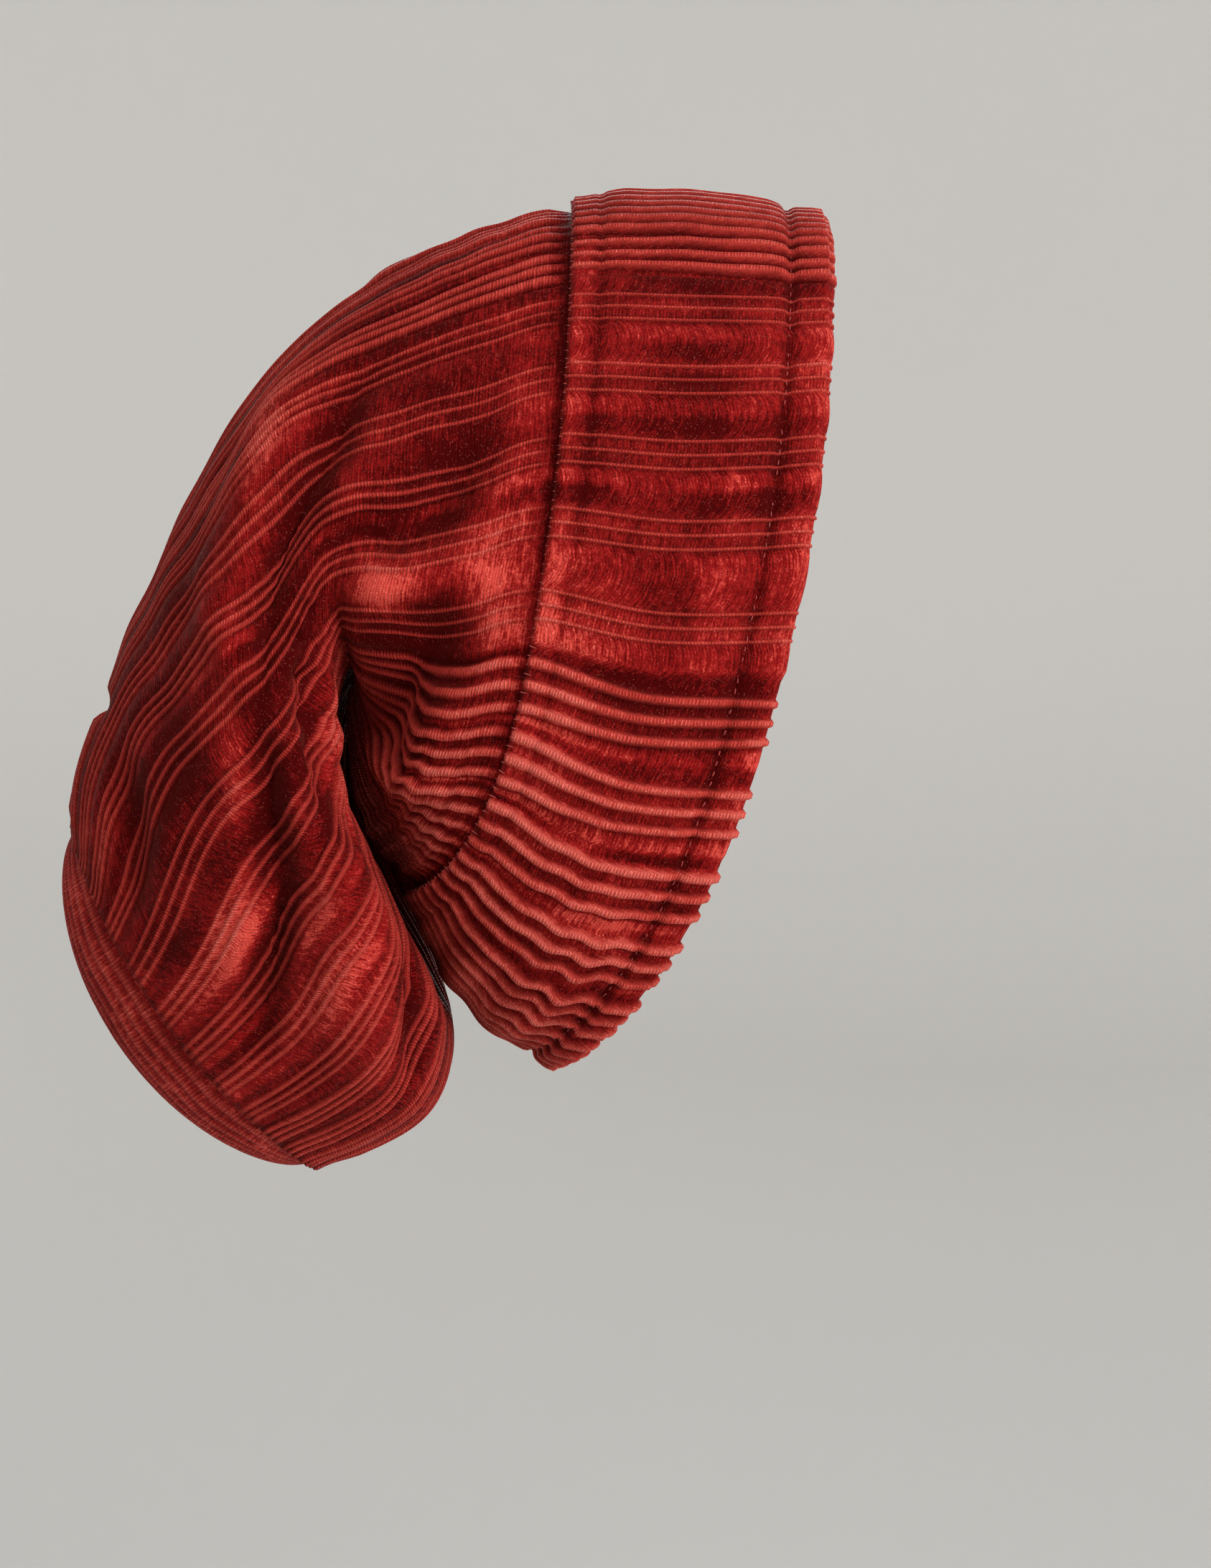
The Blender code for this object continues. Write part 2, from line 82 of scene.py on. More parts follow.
# Lengths in a section's row are shares of the sizes above, as section_sizes gives them.
SECTION_COLUMNS = ("name", "top_back", "top_drop", "low_back", "low_rise", "low_hang", "half_width",
                   "widest_at", "top_round", "low_round", "bow_top", "bow_low", "twist", "lift", "sway")
SECTIONS = (
    ("front_edge", -1.0, 0.07, -0.6, -0.69, 0.0, 0.97, 0.52, 2.3, 2.3, 0.088, 0.166, 0.0, 0.036, 0.004),
    ("cuff_middle", -0.51, -0.01, -0.26, -0.44, 0.0, 1.01, 0.54, 2.3, 2.8, 0.068, 0.145, 0.0, 0.018, 0.001),
    ("seam", 0.0, 0.0, 0.0, 0.0, 0.0, 1.0, 0.55, 2.3, 3.0, 0.048, 0.123, 0.0, 0.0, 0.0),
    ("nape", 0.153, 0.029, 0.27, 0.19, 0.0, 0.985, 0.55, 2.3, 2.9, 0.032, 0.085, 0.007, -0.013, 0.002),
    ("occiput", 0.296, 0.076, 0.58, 0.44, 0.0, 0.96, 0.55, 2.2, 2.7, 0.02, 0.05, 0.016, -0.024, 0.005),
    ("brink", 0.439, 0.147, 0.8, 0.8, 0.0, 0.92, 0.56, 2.2, 2.6, 0.005, 0.02, 0.026, -0.035, 0.008),
    ("crease", 0.554, 0.226, 1.0, 1.0, 0.0, 0.89, 0.58, 2.1, 2.8, 0.0, 0.0, 0.032, -0.041, 0.01),
    ("lobe_edge", 0.647, 0.318, 1.26, 0.8, 0.0, 0.87, 0.6, 2.1, 3.2, 0.0, 0.0, 0.025, -0.038, 0.01),
    ("lobe_throat", 0.732, 0.435, 1.14, 0.4, 0.0, 0.87, 0.58, 2.1, 3.2, 0.0, 0.0, 0.007, -0.025, 0.011),
    ("lobe_upper", 0.804, 0.553, 0.5, 0.03, 0.0, 0.87, 0.55, 2.1, 3.1, 0.0, 0.0, -0.015, -0.006, 0.012),
    ("lobe_middle", 0.868, 0.671, -0.28, 0.0, 0.291, 0.84, 0.52, 2.1, 2.9, 0.0, 0.0, -0.033, 0.016, 0.013),
    ("lobe_lower", 0.926, 0.788, -0.59, 0.0, 0.512, 0.77, 0.5, 2.1, 2.7, 0.0, 0.0, -0.044, 0.035, 0.015),
    ("bag_corner", 0.98, 0.912, -0.12, 0.0, 0.783, 0.63, 0.5, 2.1, 2.5, -0.01, -0.01, -0.043, 0.046, 0.017),
    ("end_seam", 0.997, 1.0, 1.71, 0.0, 0.975, 0.42, 0.5, 2.0, 2.0, -0.04, -0.04, -0.02, 0.05, 0.018),
)
SEAM_ROW = 2
CREASE_ROW = 6
LAST_ROW = len(SECTIONS) - 1

# A fold's path goes through (row, share) points. Height and reach are shares of FOLD_DEPTH, with a
# dent's height below 0. forward and drop lean it along +X and down, and crisp makes its line sharp.
FOLD_COLUMNS = ("name", "path", "height", "reach", "forward", "drop", "crisp")
FOLDS = (
    ("main_valley", ((2.9, 0.18), (4.2, 0.262), (6.4, 0.305), (9.6, 0.318)), -0.90, 1.6, 0.0, 0.0, 0.5),
    ("arch", ((3.2, 0.25), (4.2, 0.278), (5.2, 0.31), (6.4, 0.345), (9.0, 0.40)), 0.60, 1.4, 0.1, 0.1, 0.0),
    ("pocket", ((3.1, 0.30), (3.9, 0.325), (4.4, 0.365), (4.4, 0.42)), -1.15, 2.0, 0.0, 0.0, 0.0),
    ("nape_swell", ((2.9, 0.50), (4.2, 0.50), (5.6, 0.50)), 0.70, 2.8, 0.0, 0.0, 0.0),
    ("lobe_hollow", ((6.8, 0.50), (8.4, 0.50), (10.2, 0.50)), -1.60, 3.2, 0.0, 0.0, 0.0),
    ("far_lobe_lip", ((6.2, 0.64), (7.4, 0.615), (8.8, 0.60), (10.2, 0.595)), 0.40, 1.1, 0.9, 0.0, 0.0),
    ("nape_ripple", ((2.8, 0.37), (3.8, 0.41), (4.6, 0.45)), 0.35, 0.8, 0.0, 0.0, 0.0),
    ("inner_ridge", ((5.6, 0.27), (8.0, 0.285), (10.0, 0.272)), 0.45, 1.0, 0.0, 0.0, 0.0),
    ("back_valley", ((4.5, 0.14), (5.7, 0.225), (7.2, 0.244), (8.9, 0.252)), -0.70, 1.2, 0.0, 0.0, 0.6),
    ("back_swell", ((5.6, 0.14), (7.5, 0.18), (9.6, 0.19)), 0.40, 2.0, 0.0, 0.0, 0.0),
    ("lobe_valley", ((9.0, 0.255), (10.4, 0.242), (12.0, 0.28), (12.6, 0.32)), -0.75, 1.1, 0.0, 0.0, 0.7),
    ("lobe_swell", ((9.4, 0.325), (10.8, 0.325), (12.0, 0.36)), 0.50, 1.6, 0.0, 0.0, 0.0),
    ("under_turn", ((9.7, 0.41), (10.8, 0.392), (11.9, 0.42)), -0.60, 1.0, 0.0, 0.0, 0.6),
    ("corner_dent", ((11.3, 0.10), (12.0, 0.135), (12.7, 0.155)), -0.40, 1.1, 0.0, 0.0, 0.3),
    ("back_notch", ((11.05, -0.05), (11.1, 0.0), (11.05, 0.05)), -0.45, 0.6, 0.0, 0.0, 0.5),
    ("back_bump", ((4.3, -0.04), (4.4, 0.0), (4.3, 0.04)), 0.18, 1.4, 0.0, 0.0, 0.0),
    ("far_valley", ((3.0, 0.81), (4.8, 0.73), (7.0, 0.705), (9.4, 0.71)), -0.42, 1.8, 0.0, 0.0, 0.3),
    ("far_arch", ((3.6, 0.73), (5.4, 0.675), (7.4, 0.64), (9.0, 0.60)), 0.45, 1.4, 0.1, 0.1, 0.0),
    ("far_pocket", ((3.2, 0.68), (4.0, 0.645), (4.4, 0.58)), -0.90, 2.0, 0.0, 0.0, 0.0),
    ("far_back_valley", ((5.0, 0.86), (7.0, 0.80), (9.5, 0.77)), -0.60, 1.3, 0.0, 0.0, 0.5),
    ("far_lobe_valley", ((9.6, 0.72), (11.0, 0.735), (12.4, 0.68)), -0.70, 1.2, 0.0, 0.0, 0.6),
)
# How far a fold's point reaches along the rows, how the folds grow from the seam and taper to their
# ends, and how sharply a crisp one falls away
FOLD_WINDOW_ROWS = 2.2
FOLD_START_ROWS = 0.8
FOLD_SAMPLES = 24
FOLD_TAPER = 0.30
CRISP_POWER = 1.6
# The place beside the crease's low middle where folds stay calm
CALM_ROWS = 1.5
CALM_SHARE = 0.12
CALM_REACH = 0.12
# How finely half a section and the pleats' spacing are divided, and the steps to either side, in rows and
# in shares, from which a normal is taken
SECTION_STEPS = 240
LOOP_STEPS = 720
NORMAL_STEP = 0.02
NORMAL_SHARE = 1.5 / (2 * SECTION_STEPS)

# How far apart the pleats stand at a share of the loop: spread on the sides, closed at top and nape.
# Columns: share, spacing
PLEAT_SPACING = (
    (0.00, 0.80),
    (0.09, 0.86),
    (0.17, 1.14),
    (0.32, 1.14),
    (0.40, 0.95),
    (0.50, 0.72),
)

# Where the cloth crumples along its pleats: height and waver in metres, a wave's length in rows.
# Columns: name, row, share, row_reach, share_reach, height, wave_rows, waver
CRUMPLES = (
    ("cuff_top", 1.0, 0.00, 1.6, 0.11, 0.00085, 0.62, 0.0011),
    ("cuff_nape", 0.9, 0.50, 1.7, 0.19, 0.00120, 0.40, 0.0030),
    ("bag_top", 3.4, 0.00, 2.4, 0.14, 0.00040, 0.90, 0.0007),
    ("bag_nape", 3.2, 0.46, 1.6, 0.16, 0.00090, 0.42, 0.0014),
    ("bag_side", 4.6, 0.20, 3.2, 0.20, 0.00050, 1.60, 0.0004),
    ("lobe", 9.5, 0.25, 3.8, 0.60, 0.00060, 1.80, 0.0005),
)

# How wide a pleat is on a row, in metres, where its strip lies open and where it is closed up.
# Columns: row, open_width, closed_width
STRETCH = (
    (2.0, 0.0180, 0.0132),
    (3.5, 0.0165, 0.0120),
    (6.0, 0.0135, 0.0085),
    (9.0, 0.0120, 0.0070),
)

# How much wider a pleat may be, in metres, and still close up, at a share of the seam's loop, and how
# much more or less that is on the rows from the front edge to the crease.
# Columns: share, gather
GATHER = (
    (0.00, 0.0025),
    (0.07, 0.0025),
    (0.12, 0.0000),
    (0.20, 0.0000),
    (0.28, 0.0080),
    (0.50, 0.0080),
)
GATHER_ROWS = (0, SEAM_ROW, CREASE_ROW)
GATHER_GAINS = (1.5, 1.0, 0.0)

# A pleat is half a strip, three ridges and half a strip. Each half strip has two lines: place is a share
# of the gap from the pleat's edge to its ridges, level goes from the ridges' foot to the strip's middle
# and valley says how much painted shade the line gets where the cloth closes up.
# Columns: place, level, valley
STRIP_LINES = (
    (0.2, 1.0, 0.6),
    (0.7, 0.6, 0.8),
)
# Each ridge has four lines: place is in half widths from its middle, level goes from foot to crest, and
# ridge is what the material reads.
# Columns: place, level, ridge
RIDGE_LINES = (
    (-1.0, 0.0, 0.25),
    (-0.42, 1.0, 1.0),
    (0.42, 1.0, 1.0),
    (1.0, 0.0, 0.25),
)
# Which of a pleat's five tones each of its lines has. The first and last also carry painted shade and
# painted light on the strips' lower and upper sides.
LINE_SHADES = (0, 0, 1, 1, 1, 1, 2, 2, 2, 2, 3, 3, 3, 3, 4, 4)
# Bounds for a ridge's own height, as a share of the mean
RIDGE_HEIGHTS = (0.75, 1.25)
# How much wider the pitch is on bunched cloth, how many pitches its pleat has, and the most that half a
# ridge takes of a pitch
CLOSED_SPREAD = 0.6
CLOSED_PITCHES = 3.1
HALF_LIMIT = 0.46
# How far a closed strip drops, in valley depths, and how a pleat's shade wanders along the rows
STRIP_DROP = 1.2
SHADE_DRIFT = 0.6
SHADE_WAVE_ROWS = 1.3
# A ripple is a sum of waves: how many, bounds for their pace and for their turns round the loop, and
# the sum's size
RIPPLE_WAVES = 5
RIPPLE_PACES = (0.7, 1.35)
RIPPLE_TURNS = (-7, 8)
RIPPLE_SIZE = 3.2

# Painted light and shade on the pile: an amount above 0 is painted light, below 0 painted shade, over the
# patches, creases, hollows and seams where light and shade fall.
# Columns: name, row, share, row_reach, share_reach, amount
PAINTED_LIGHT = (
    ("cuff_low", 0.9, 0.42, 1.9, 0.19, 0.72),
    ("cuff_rear", 1.70, 0.31, 0.75, 0.11, 0.66),
    ("cuff_middle_low", 0.9, 0.34, 1.3, 0.10, 0.30),
    ("cuff_front_fold", 0.00, 0.25, 0.30, 0.70, 0.55),
    ("cuff_rear_band", 1.88, 0.14, 0.14, 0.22, 0.45),
    ("cuff_channel_rear", 0.62, 0.18, 0.22, 0.30, 0.22),
    ("channel_shade", 0.33, 0.25, 0.09, 0.70, -0.45),
    ("second_line_shade", 1.74, 0.20, 0.07, 0.25, -0.30),
    ("cuff_crown", 1.0, 0.00, 1.6, 0.10, 0.22),
    ("cuff_side", 1.0, 0.16, 0.60, 0.12, -0.25),
    ("seam_shade", 2.02, 0.25, 0.05, 0.70, -0.60),
    ("behind_seam", 2.75, 0.27, 0.80, 0.090, 0.80),
    ("behind_seam_high", 2.4, 0.19, 0.60, 0.060, 0.30),
    ("nape_behind_seam", 2.7, 0.39, 1.2, 0.130, 0.85),
    ("above_arch", 3.9, 0.20, 0.90, 0.050, -0.30),
    ("arch_crest", 4.7, 0.297, 0.90, 0.032, 0.70),
    ("upper_crest", 5.1, 0.24, 0.60, 0.028, 0.45),
    ("pocket", 4.4, 0.345, 0.90, 0.045, -0.60),
    ("pocket_front", 3.7, 0.325, 0.50, 0.035, -0.35),
    ("shoulder", 4.2, 0.12, 1.4, 0.100, -0.15),
    ("back_glint", 6.6, 0.17, 0.70, 0.035, 0.45),
    ("bag_back", 7.5, 0.03, 4.0, 0.120, -0.18),
    ("lobe", 9.0, 0.20, 3.6, 0.260, -0.40),
    ("lobe_front", 9.2, 0.33, 1.7, 0.045, -0.40),
    ("lobe_band_high", 10.2, 0.212, 1.30, 0.034, 0.90),
    ("lobe_band_low", 11.8, 0.243, 1.10, 0.036, 0.95),
    ("lobe_shade", 11.2, 0.158, 1.50, 0.045, -0.40),
    ("lobe_line", 10.0, 0.240, 1.60, 0.014, -0.60),
    ("lobe_line_high", 8.8, 0.250, 1.00, 0.014, -0.50),
    ("lobe_line_low", 11.6, 0.268, 1.10, 0.014, -0.80),
    ("lobe_dent_back", 10.8, 0.160, 0.70, 0.024, -0.45),
    ("lobe_dent_foot", 12.4, 0.212, 0.50, 0.022, -0.55),
    ("lobe_right", 11.0, 0.296, 1.80, 0.026, 0.45),
    ("lobe_foot", 12.3, 0.30, 0.80, 0.060, 0.30),
    ("end_turn", 12.6, 0.12, 1.0, 0.100, 0.10),
)
# A fold that stands this high, in metres, paints the pile lighter by 1, up to the limit, and a sunk fold
# paints it darker:
# this is painted light and shade. A valley between ridges gets painted shade.
FOLD_PAINTED_LIGHT_RISE = 0.0070
FOLD_PAINTED_LIGHT_LIMIT = 0.5
VALLEY_SHADE = 0.75

# Where the bag's pleats fade: behind the seam, inside the crease and at the end panel's seam, where the
# share END_PLEAT of their height is left
PLEAT_START_ROWS = 0.25
CREASE_FLAT_ROWS = 2.4
CREASE_FLAT_SHARE = 0.10
END_FADE_ROWS = 0.35
END_PLEAT = 0.35
# The share of the pleats' height on the crown's inner face, and of the smooth normals on its folds
INNER_RELIEF = 0.4
NORMAL_BLEND = 0.35

# The cuff's stitched lines, as shares of CUFF_WIDTH from its front fold
CHANNEL_BACK = 0.165
SECOND_LINE_BACK = 0.870
# The cuff's outer face: back is a share of CUFF_WIDTH from its front fold, lift of CUFF_WALL, and
# pleat the share of the pleats' height that shows.
# Columns: name, back, lift, pleat
CUFF_ROWS = (
    ("hem_roll", 0.060, 0.30, 1.10),
    ("channel", CHANNEL_BACK, 0.10, 0.75),
    ("body_front", 0.240, 0.24, 1.00),
    ("body_middle", 0.560, 0.30, 1.00),
    ("body_rear", 0.780, 0.22, 1.00),
    ("second_line", SECOND_LINE_BACK, 0.10, 0.80),
    ("rear_roll", 0.950, 0.15, 0.60),
)
# A pinch is a stitched line that draws the cuff in: depth is a share of CUFF_WALL, width in metres.
# Columns: name, back, depth, width
CUFF_PINCHES = (
    ("channel", CHANNEL_BACK, 0.50, 0.0014),
    ("second_line", SECOND_LINE_BACK, 0.20, 0.0010),
)
# Shares of the pleats' height on the cuff's inner face, its front fold and its rear edge
INNER_PLEAT = 0.45
FRONT_PLEAT = 0.7
REAR_PLEAT = 0.4
# The inner face's pleats fade over this length in metres, and a crumple dents the cuff by this share of
# its wall at most.
INNER_FADE = 0.004
CRUMPLE_LIMIT = 0.3

# How finely the pieces are divided. TUCK_ROWS is the small step in rows before the seam where the
# crown's even rows begin, and before the last row for the end panel's way in.
TUCK_ROWS = 0.05
INNER_ROW_STEP = 3
CROWN_GRID_ROWS = 152
CUFF_INNER_ROWS = 16
CUFF_TURN_ROWS = 7
CUFF_OUTER_ROWS = 66
PANEL_STEPS = 150
PANEL_ACROSS = 90
GUIDE_STEPS = 420

# The end panel's ridges: how many, how they sway along it as (size, turns) waves, how far the first may
# be shifted, their height as a share of a closed ridge's and how fast it fades at the edges
PANEL_RIDGES = 14
PANEL_SWAYS = ((0.035, 2.2), (0.020, 5.1))
PANEL_START = 6.0
PANEL_RELIEF = 0.55
PANEL_EDGE_FADE = 8
# The panel's gap to the bag in closed ridges' heights, the distance at which the points of its two tips
# are joined, in metres, and its even painted light
PANEL_GAP = 0.15
PANEL_WELD = 0.00005
PANEL_PAINTED_LIGHT = 0.30

# Seeds of the random draws. The last three are added to a piece's own.
CROWN_SEED = 11
CUFF_SEED = 23
PANEL_SEED = 37
STITCH_SEED = 5
WAVER_SEED = 40
SHADE_SEED = 60
HEIGHT_SEED = 80

# The two lines of stitches: how far the seam's line lies in front of the cuff's rear edge, in metres,
# how high each lies on the cuff, in its walls, and how far a stitch turns aside, in radians
SEAM_LINE_IN = 0.0012
SEAM_LINE_LIFT = 0.95
CHANNEL_LINE_LIFT = 0.82
STITCH_SWAY = 0.22

# What the velvet's tone and painted light is made of, between which amounts it turns to middle and to
# bright pile, the painted highlight on its ridges, how its knitted bars show and its painted glints
STREAK_SCALE = (170.0, 1300.0, 1.0)
PATCH_WEIGHT = 0.32
STREAK_WEIGHT = 0.46
GRAIN_WEIGHT = 0.60
BRUSH_BASE = 0.54
MIDDLE_PILE = (-0.50, 0.70)
BRIGHT_PILE = (0.40, 1.12)
RIDGE_SHARPNESS = 2.2
RIDGE_COVER = 0.9
CREST_FIRST = 0.36
CREST_LIT = 0.45
BAR_SHADE_ON_STRIP = 0.22
BAR_SHADE_ON_CREST = 0.48
GLINT_GAIN = 0.80
GLINT_BASE = 0.16

# The stage: each light's name, place, size and power, all turned to LIT_MIDDLE
LIGHTS = (
    ("key_light", (0.3, -1.5, 1.5), 1.0, 30.0),
    ("fill_light", (1.5, -1.2, 0.0), 1.2, 21.0),
    ("low_light", (0.8, -1.1, -0.3), 0.5, 6.0),
    ("back_light", (0.2, 1.8, 0.9), 1.4, 17.0),
)
LIT_MIDDLE = (-0.05, 0.0, -0.04)
CAMERA_PLACE = (-0.00785, -1.2, -0.0671)
SENSOR_WIDTH = 36.0
CAMERA_REACH = 20.0
WORLD_COLOUR = (0.95, 0.97, 1.0, 1.0)
WORLD_STRENGTH = 0.40
# The floor: the radius of its bend up into the backdrop, the bend's angles, the heights of the wall's
# rows over it, how many steps it has round, and shares of its colour for its flat and its clouded part
FLOOR_RISE = 1.0
FLOOR_BENDS = np.linspace(0.12, math.pi / 2, 12)
FLOOR_STEPS = (0.6, 1.2, 1.8, 2.4)
FLOOR_TURNS = 96
FLOOR_SHADE = 0.74
CLOUD_SHADE = 0.95


def column(name):
    place = SECTION_COLUMNS.index(name)
    return np.array([row[place] for row in SECTIONS], float)


def by_zone(shares, before_seam, behind_seam):
    """Lengths of shares that follow one size in front of the seam and another behind it."""
    rows = np.arange(len(SECTIONS))
    return shares * np.where(rows < SEAM_ROW, before_seam, behind_seam)


def section_sizes():
    """The sections' sizes in metres, each an array with one value for each row."""
    low_z = SEAM_TOP_RISE - SEAM_HEIGHT + by_zone(column("low_rise"), CUFF_WIDTH, CREASE_RISE)
    return {
        "top_x": -SEAM_TOP_BACK - by_zone(column("top_back"), CUFF_WIDTH, BAG_REACH),
        "top_z": SEAM_TOP_RISE - by_zone(column("top_drop"), CUFF_WIDTH, BAG_SHOULDER_DROP),
        "low_x": -SEAM_TOP_BACK - SEAM_RAKE - by_zone(column("low_back"), CUFF_WIDTH, CREASE_BACK),
        "low_z": low_z - column("low_hang") * BAG_HANG,
        "half_width": column("half_width") * SEAM_HALF_WIDTH,
        "widest_at": column("widest_at"),
        "top_round": column("top_round"),
        "low_round": column("low_round"),
        "bow_top": column("bow_top") * SEAM_HEIGHT,
        "bow_low": column("bow_low") * SEAM_HEIGHT,
        "twist": column("twist"),
        "lift": column("lift"),
        "sway": column("sway"),
    }


SIZES = section_sizes()


def smooth_between(values, place):
    """A smooth curve through values, a list of numbers or points, read at a place between two of them."""
    values = np.asarray(values, float)
    knots = np.concatenate([[2 * values[0] - values[1]], values, [2 * values[-1] - values[-2]]])
    first = int(min(max(math.floor(place), 0), len(values) - 2))
    part = place - first
    a, b, c, d = knots[first:first + 4]
    return 0.5 * (2 * b + (c - a) * part + (2 * a - 5 * b + 4 * c - d) * part**2
                  + (3 * b - 3 * c + d - a) * part**3)


def size_at(name, row):
    return float(smooth_between(SIZES[name], row))


def section_loop(row):
    """One section's closed loop, from the top centre down the near side and back up the far side."""
    size = {name: size_at(name, row) for name in SIZES}
    turn = np.linspace(0, math.pi, SECTION_STEPS + 1)
    upper = turn <= math.pi / 2
    roundness = np.where(upper, size["top_round"], size["low_round"])
    along = np.abs(np.cos(turn)) ** (2 / roundness)
    across = np.abs(np.sin(turn)) ** (2 / roundness)
    widest = size["widest_at"]
    share = np.where(upper, widest * (1 - along), widest + (1 - widest) * along)
    top = np.array([size["top_x"], size["top_z"]])
    chord = np.array([size["low_x"], size["low_z"]]) - top
    forward = np.array([-chord[1], chord[0]]) / np.linalg.norm(chord)
    bow = (size["bow_top"] + (size["bow_low"] - size["bow_top"]) * share) * across**2
    side = top + share[:, None] * chord + bow[:, None] * forward
    near = np.stack([side[:, 0], -across * size["half_width"], side[:, 1]], axis=1)
    far = near[-2:0:-1] * (1, -1, 1)
    return np.concatenate([near, far])


def loop_length(loop):
    return np.linalg.norm(np.roll(loop, -1, axis=0) - loop, axis=1).sum()


def row_lengths(rows):
    return np.array([loop_length(section_loop(row)) for row in rows])[:, None]


def points_round(loop, shares):
    """Points of a closed loop at shares of its length."""
    closed = np.concatenate([loop, loop[:1]])
    run = np.concatenate([[0], np.cumsum(np.linalg.norm(np.diff(closed, axis=0), axis=1))])
    at = np.mod(shares, 1.0) * run[-1]
    return np.stack([np.interp(at, run, closed[:, k]) for k in range(3)], axis=1)


def cloth_shares(count):
    """Shares of a loop where evenly counted lines of the cloth lie, by the pleats' spacing."""
    fine = np.linspace(0, 1, LOOP_STEPS + 1)
    density = 1 / np.interp(np.minimum(fine, 1 - fine), *zip(*PLEAT_SPACING))
    run = np.concatenate([[0], np.cumsum((density[1:] + density[:-1]) / 2)])
    return np.interp(np.arange(count + 1) / count, run / run[-1], fine)


def place_on_row(cloth, row):
    """Shares of a row's loop where lines of the cloth lie."""
    lift = size_at("lift", row) * np.sin(2 * math.pi * cloth)
    sway = size_at("sway", row) * np.sin(4 * math.pi * cloth)
    return cloth + size_at("twist", row) - lift - sway


def laid_out(rows, shares):
    """(points, outward normals) of the bag without folds, at each row's own shares."""
    points, along_row, round_loop = [], [], []
    for row, share in zip(rows, shares):
        loop = section_loop(row)
        points.append(points_round(loop, share))
        ahead, behind = section_loop(row + NORMAL_STEP), section_loop(row - NORMAL_STEP)
        along_row.append(points_round(ahead, share) - points_round(behind, share))
        after, before = points_round(loop, share + NORMAL_SHARE), points_round(loop, share - NORMAL_SHARE)
        round_loop.append(after - before)
    return np.array(points), unit(np.cross(np.array(along_row), np.array(round_loop)))


def unit(vectors):
    return vectors / np.maximum(np.linalg.norm(vectors, axis=-1, keepdims=True), 1e-12)


def window(values, middle, reach):
    """1 at the middle, falling smoothly to 0 at the reach."""
    near = np.clip(1 - np.abs(values - middle) / reach, 0, 1)
    return near**2 * (3 - 2 * near)


def fold_paths():
    """Each fold's sampled path: rows, points in space and a taper towards its two ends."""
    paths = []
    for fold in FOLDS:
        path = fold[FOLD_COLUMNS.index("path")]
        places = np.linspace(0, len(path) - 1, FOLD_SAMPLES)
        knots = np.array([smooth_between(path, place) for place in places])
        points = np.array([points_round(section_loop(row), np.array([share]))[0] for row, share in knots])
        ends = np.minimum(np.linspace(0, 1, FOLD_SAMPLES), np.linspace(1, 0, FOLD_SAMPLES))
        paths.append((knots[:, 0], points, np.sin(np.clip(ends / FOLD_TAPER, 0, 1) * math.pi / 2)))
    return paths


def calm_by_crease(rows, shares):
    """A share of the folds' height that is left near the crease's brink, where the rows crowd together."""
    row_near = np.clip(1 - np.abs(rows - CREASE_ROW) / CALM_ROWS, 0, 1)
    share_near = np.clip(1 - np.abs(np.abs(np.mod(shares, 1.0) - 0.5) - CALM_SHARE) / CALM_REACH, 0, 1)
    return 1 - np.sin(row_near * math.pi / 2) * np.sin(share_near * math.pi / 2)


def folded(rows, points, normals, shares):
    """The grid's points moved by every fold, along the smooth surface's normals and each fold's lean."""
    moved = points.copy()
    row_grid = np.asarray(rows, float)[:, None]
    allowed = np.clip((row_grid - SEAM_ROW) / FOLD_START_ROWS, 0, 1) * calm_by_crease(row_grid, shares)
    for fold, (path_rows, path_points, taper) in zip(FOLDS, fold_paths()):
        _, _, height, reach, forward, drop, crisp = fold
        strength = np.zeros(points.shape[:2])
        for path_row, path_point, share in zip(path_rows, path_points, taper):
            near = np.clip(np.linalg.norm(points - path_point, axis=2) / (reach * FOLD_DEPTH), 0, 1)
            shape = (1 - crisp) * (1 - near**2) ** 2 + crisp * (1 - near) ** CRISP_POWER
            strength = np.maximum(strength, shape * share * window(row_grid, path_row, FOLD_WINDOW_ROWS))
        way = normals + np.array([forward, 0, -drop])
        moved += (height * FOLD_DEPTH * strength * allowed)[..., None] * way
    return moved


# Pleats, crumples and painted light


def share_from_top(shares):
    return np.abs((np.mod(shares, 1.0) + 0.5) % 1.0 - 0.5)


def round_window(shares, middle, reach):
    """A window over shares of a loop, on both of the hat's sides of the top centre."""
    return window(share_from_top(shares), middle, reach)


def ripple(rows, shares, wave_rows, seed):
    """A smooth wandering wave along the rows, between about -1 and 1, that drifts round the loop."""
    chance = np.random.default_rng(seed)
    total = np.zeros(np.broadcast(rows, shares).shape)
    for _ in range(RIPPLE_WAVES):
        pace, drift = chance.uniform(*RIPPLE_PACES), chance.integers(*RIPPLE_TURNS)
        total += np.sin(2 * math.pi * (rows * pace / wave_rows + drift * shares + chance.uniform(0, 1)))
    return total / RIPPLE_SIZE


def crumpled(rows, shares, part, seed):
    """The crumples' heights, or how far they push the pleats sideways, over a grid."""
    rows = np.asarray(rows, float)[:, None]
    total = np.zeros(shares.shape)
    for place, (_, row, share, row_reach, share_reach, height, wave_rows, waver) in enumerate(CRUMPLES):
        amount = height if part == "height" else waver
        near = window(rows, row, row_reach) * round_window(shares, share, share_reach)
        total += amount * near * ripple(rows, shares, wave_rows, seed + place)
    return total


def stretch_at(row, shares):
    """(open width, closed width) of the pleats on a row, at shares of its loop."""
    rows, wide, narrow = zip(*STRETCH)
    places, gathers = zip(*GATHER)
    gather = np.interp(share_from_top(shares), places, gathers) * np.interp(row, GATHER_ROWS, GATHER_GAINS)
    return np.interp(row, rows, wide) + gather, np.interp(row, rows, narrow) + gather


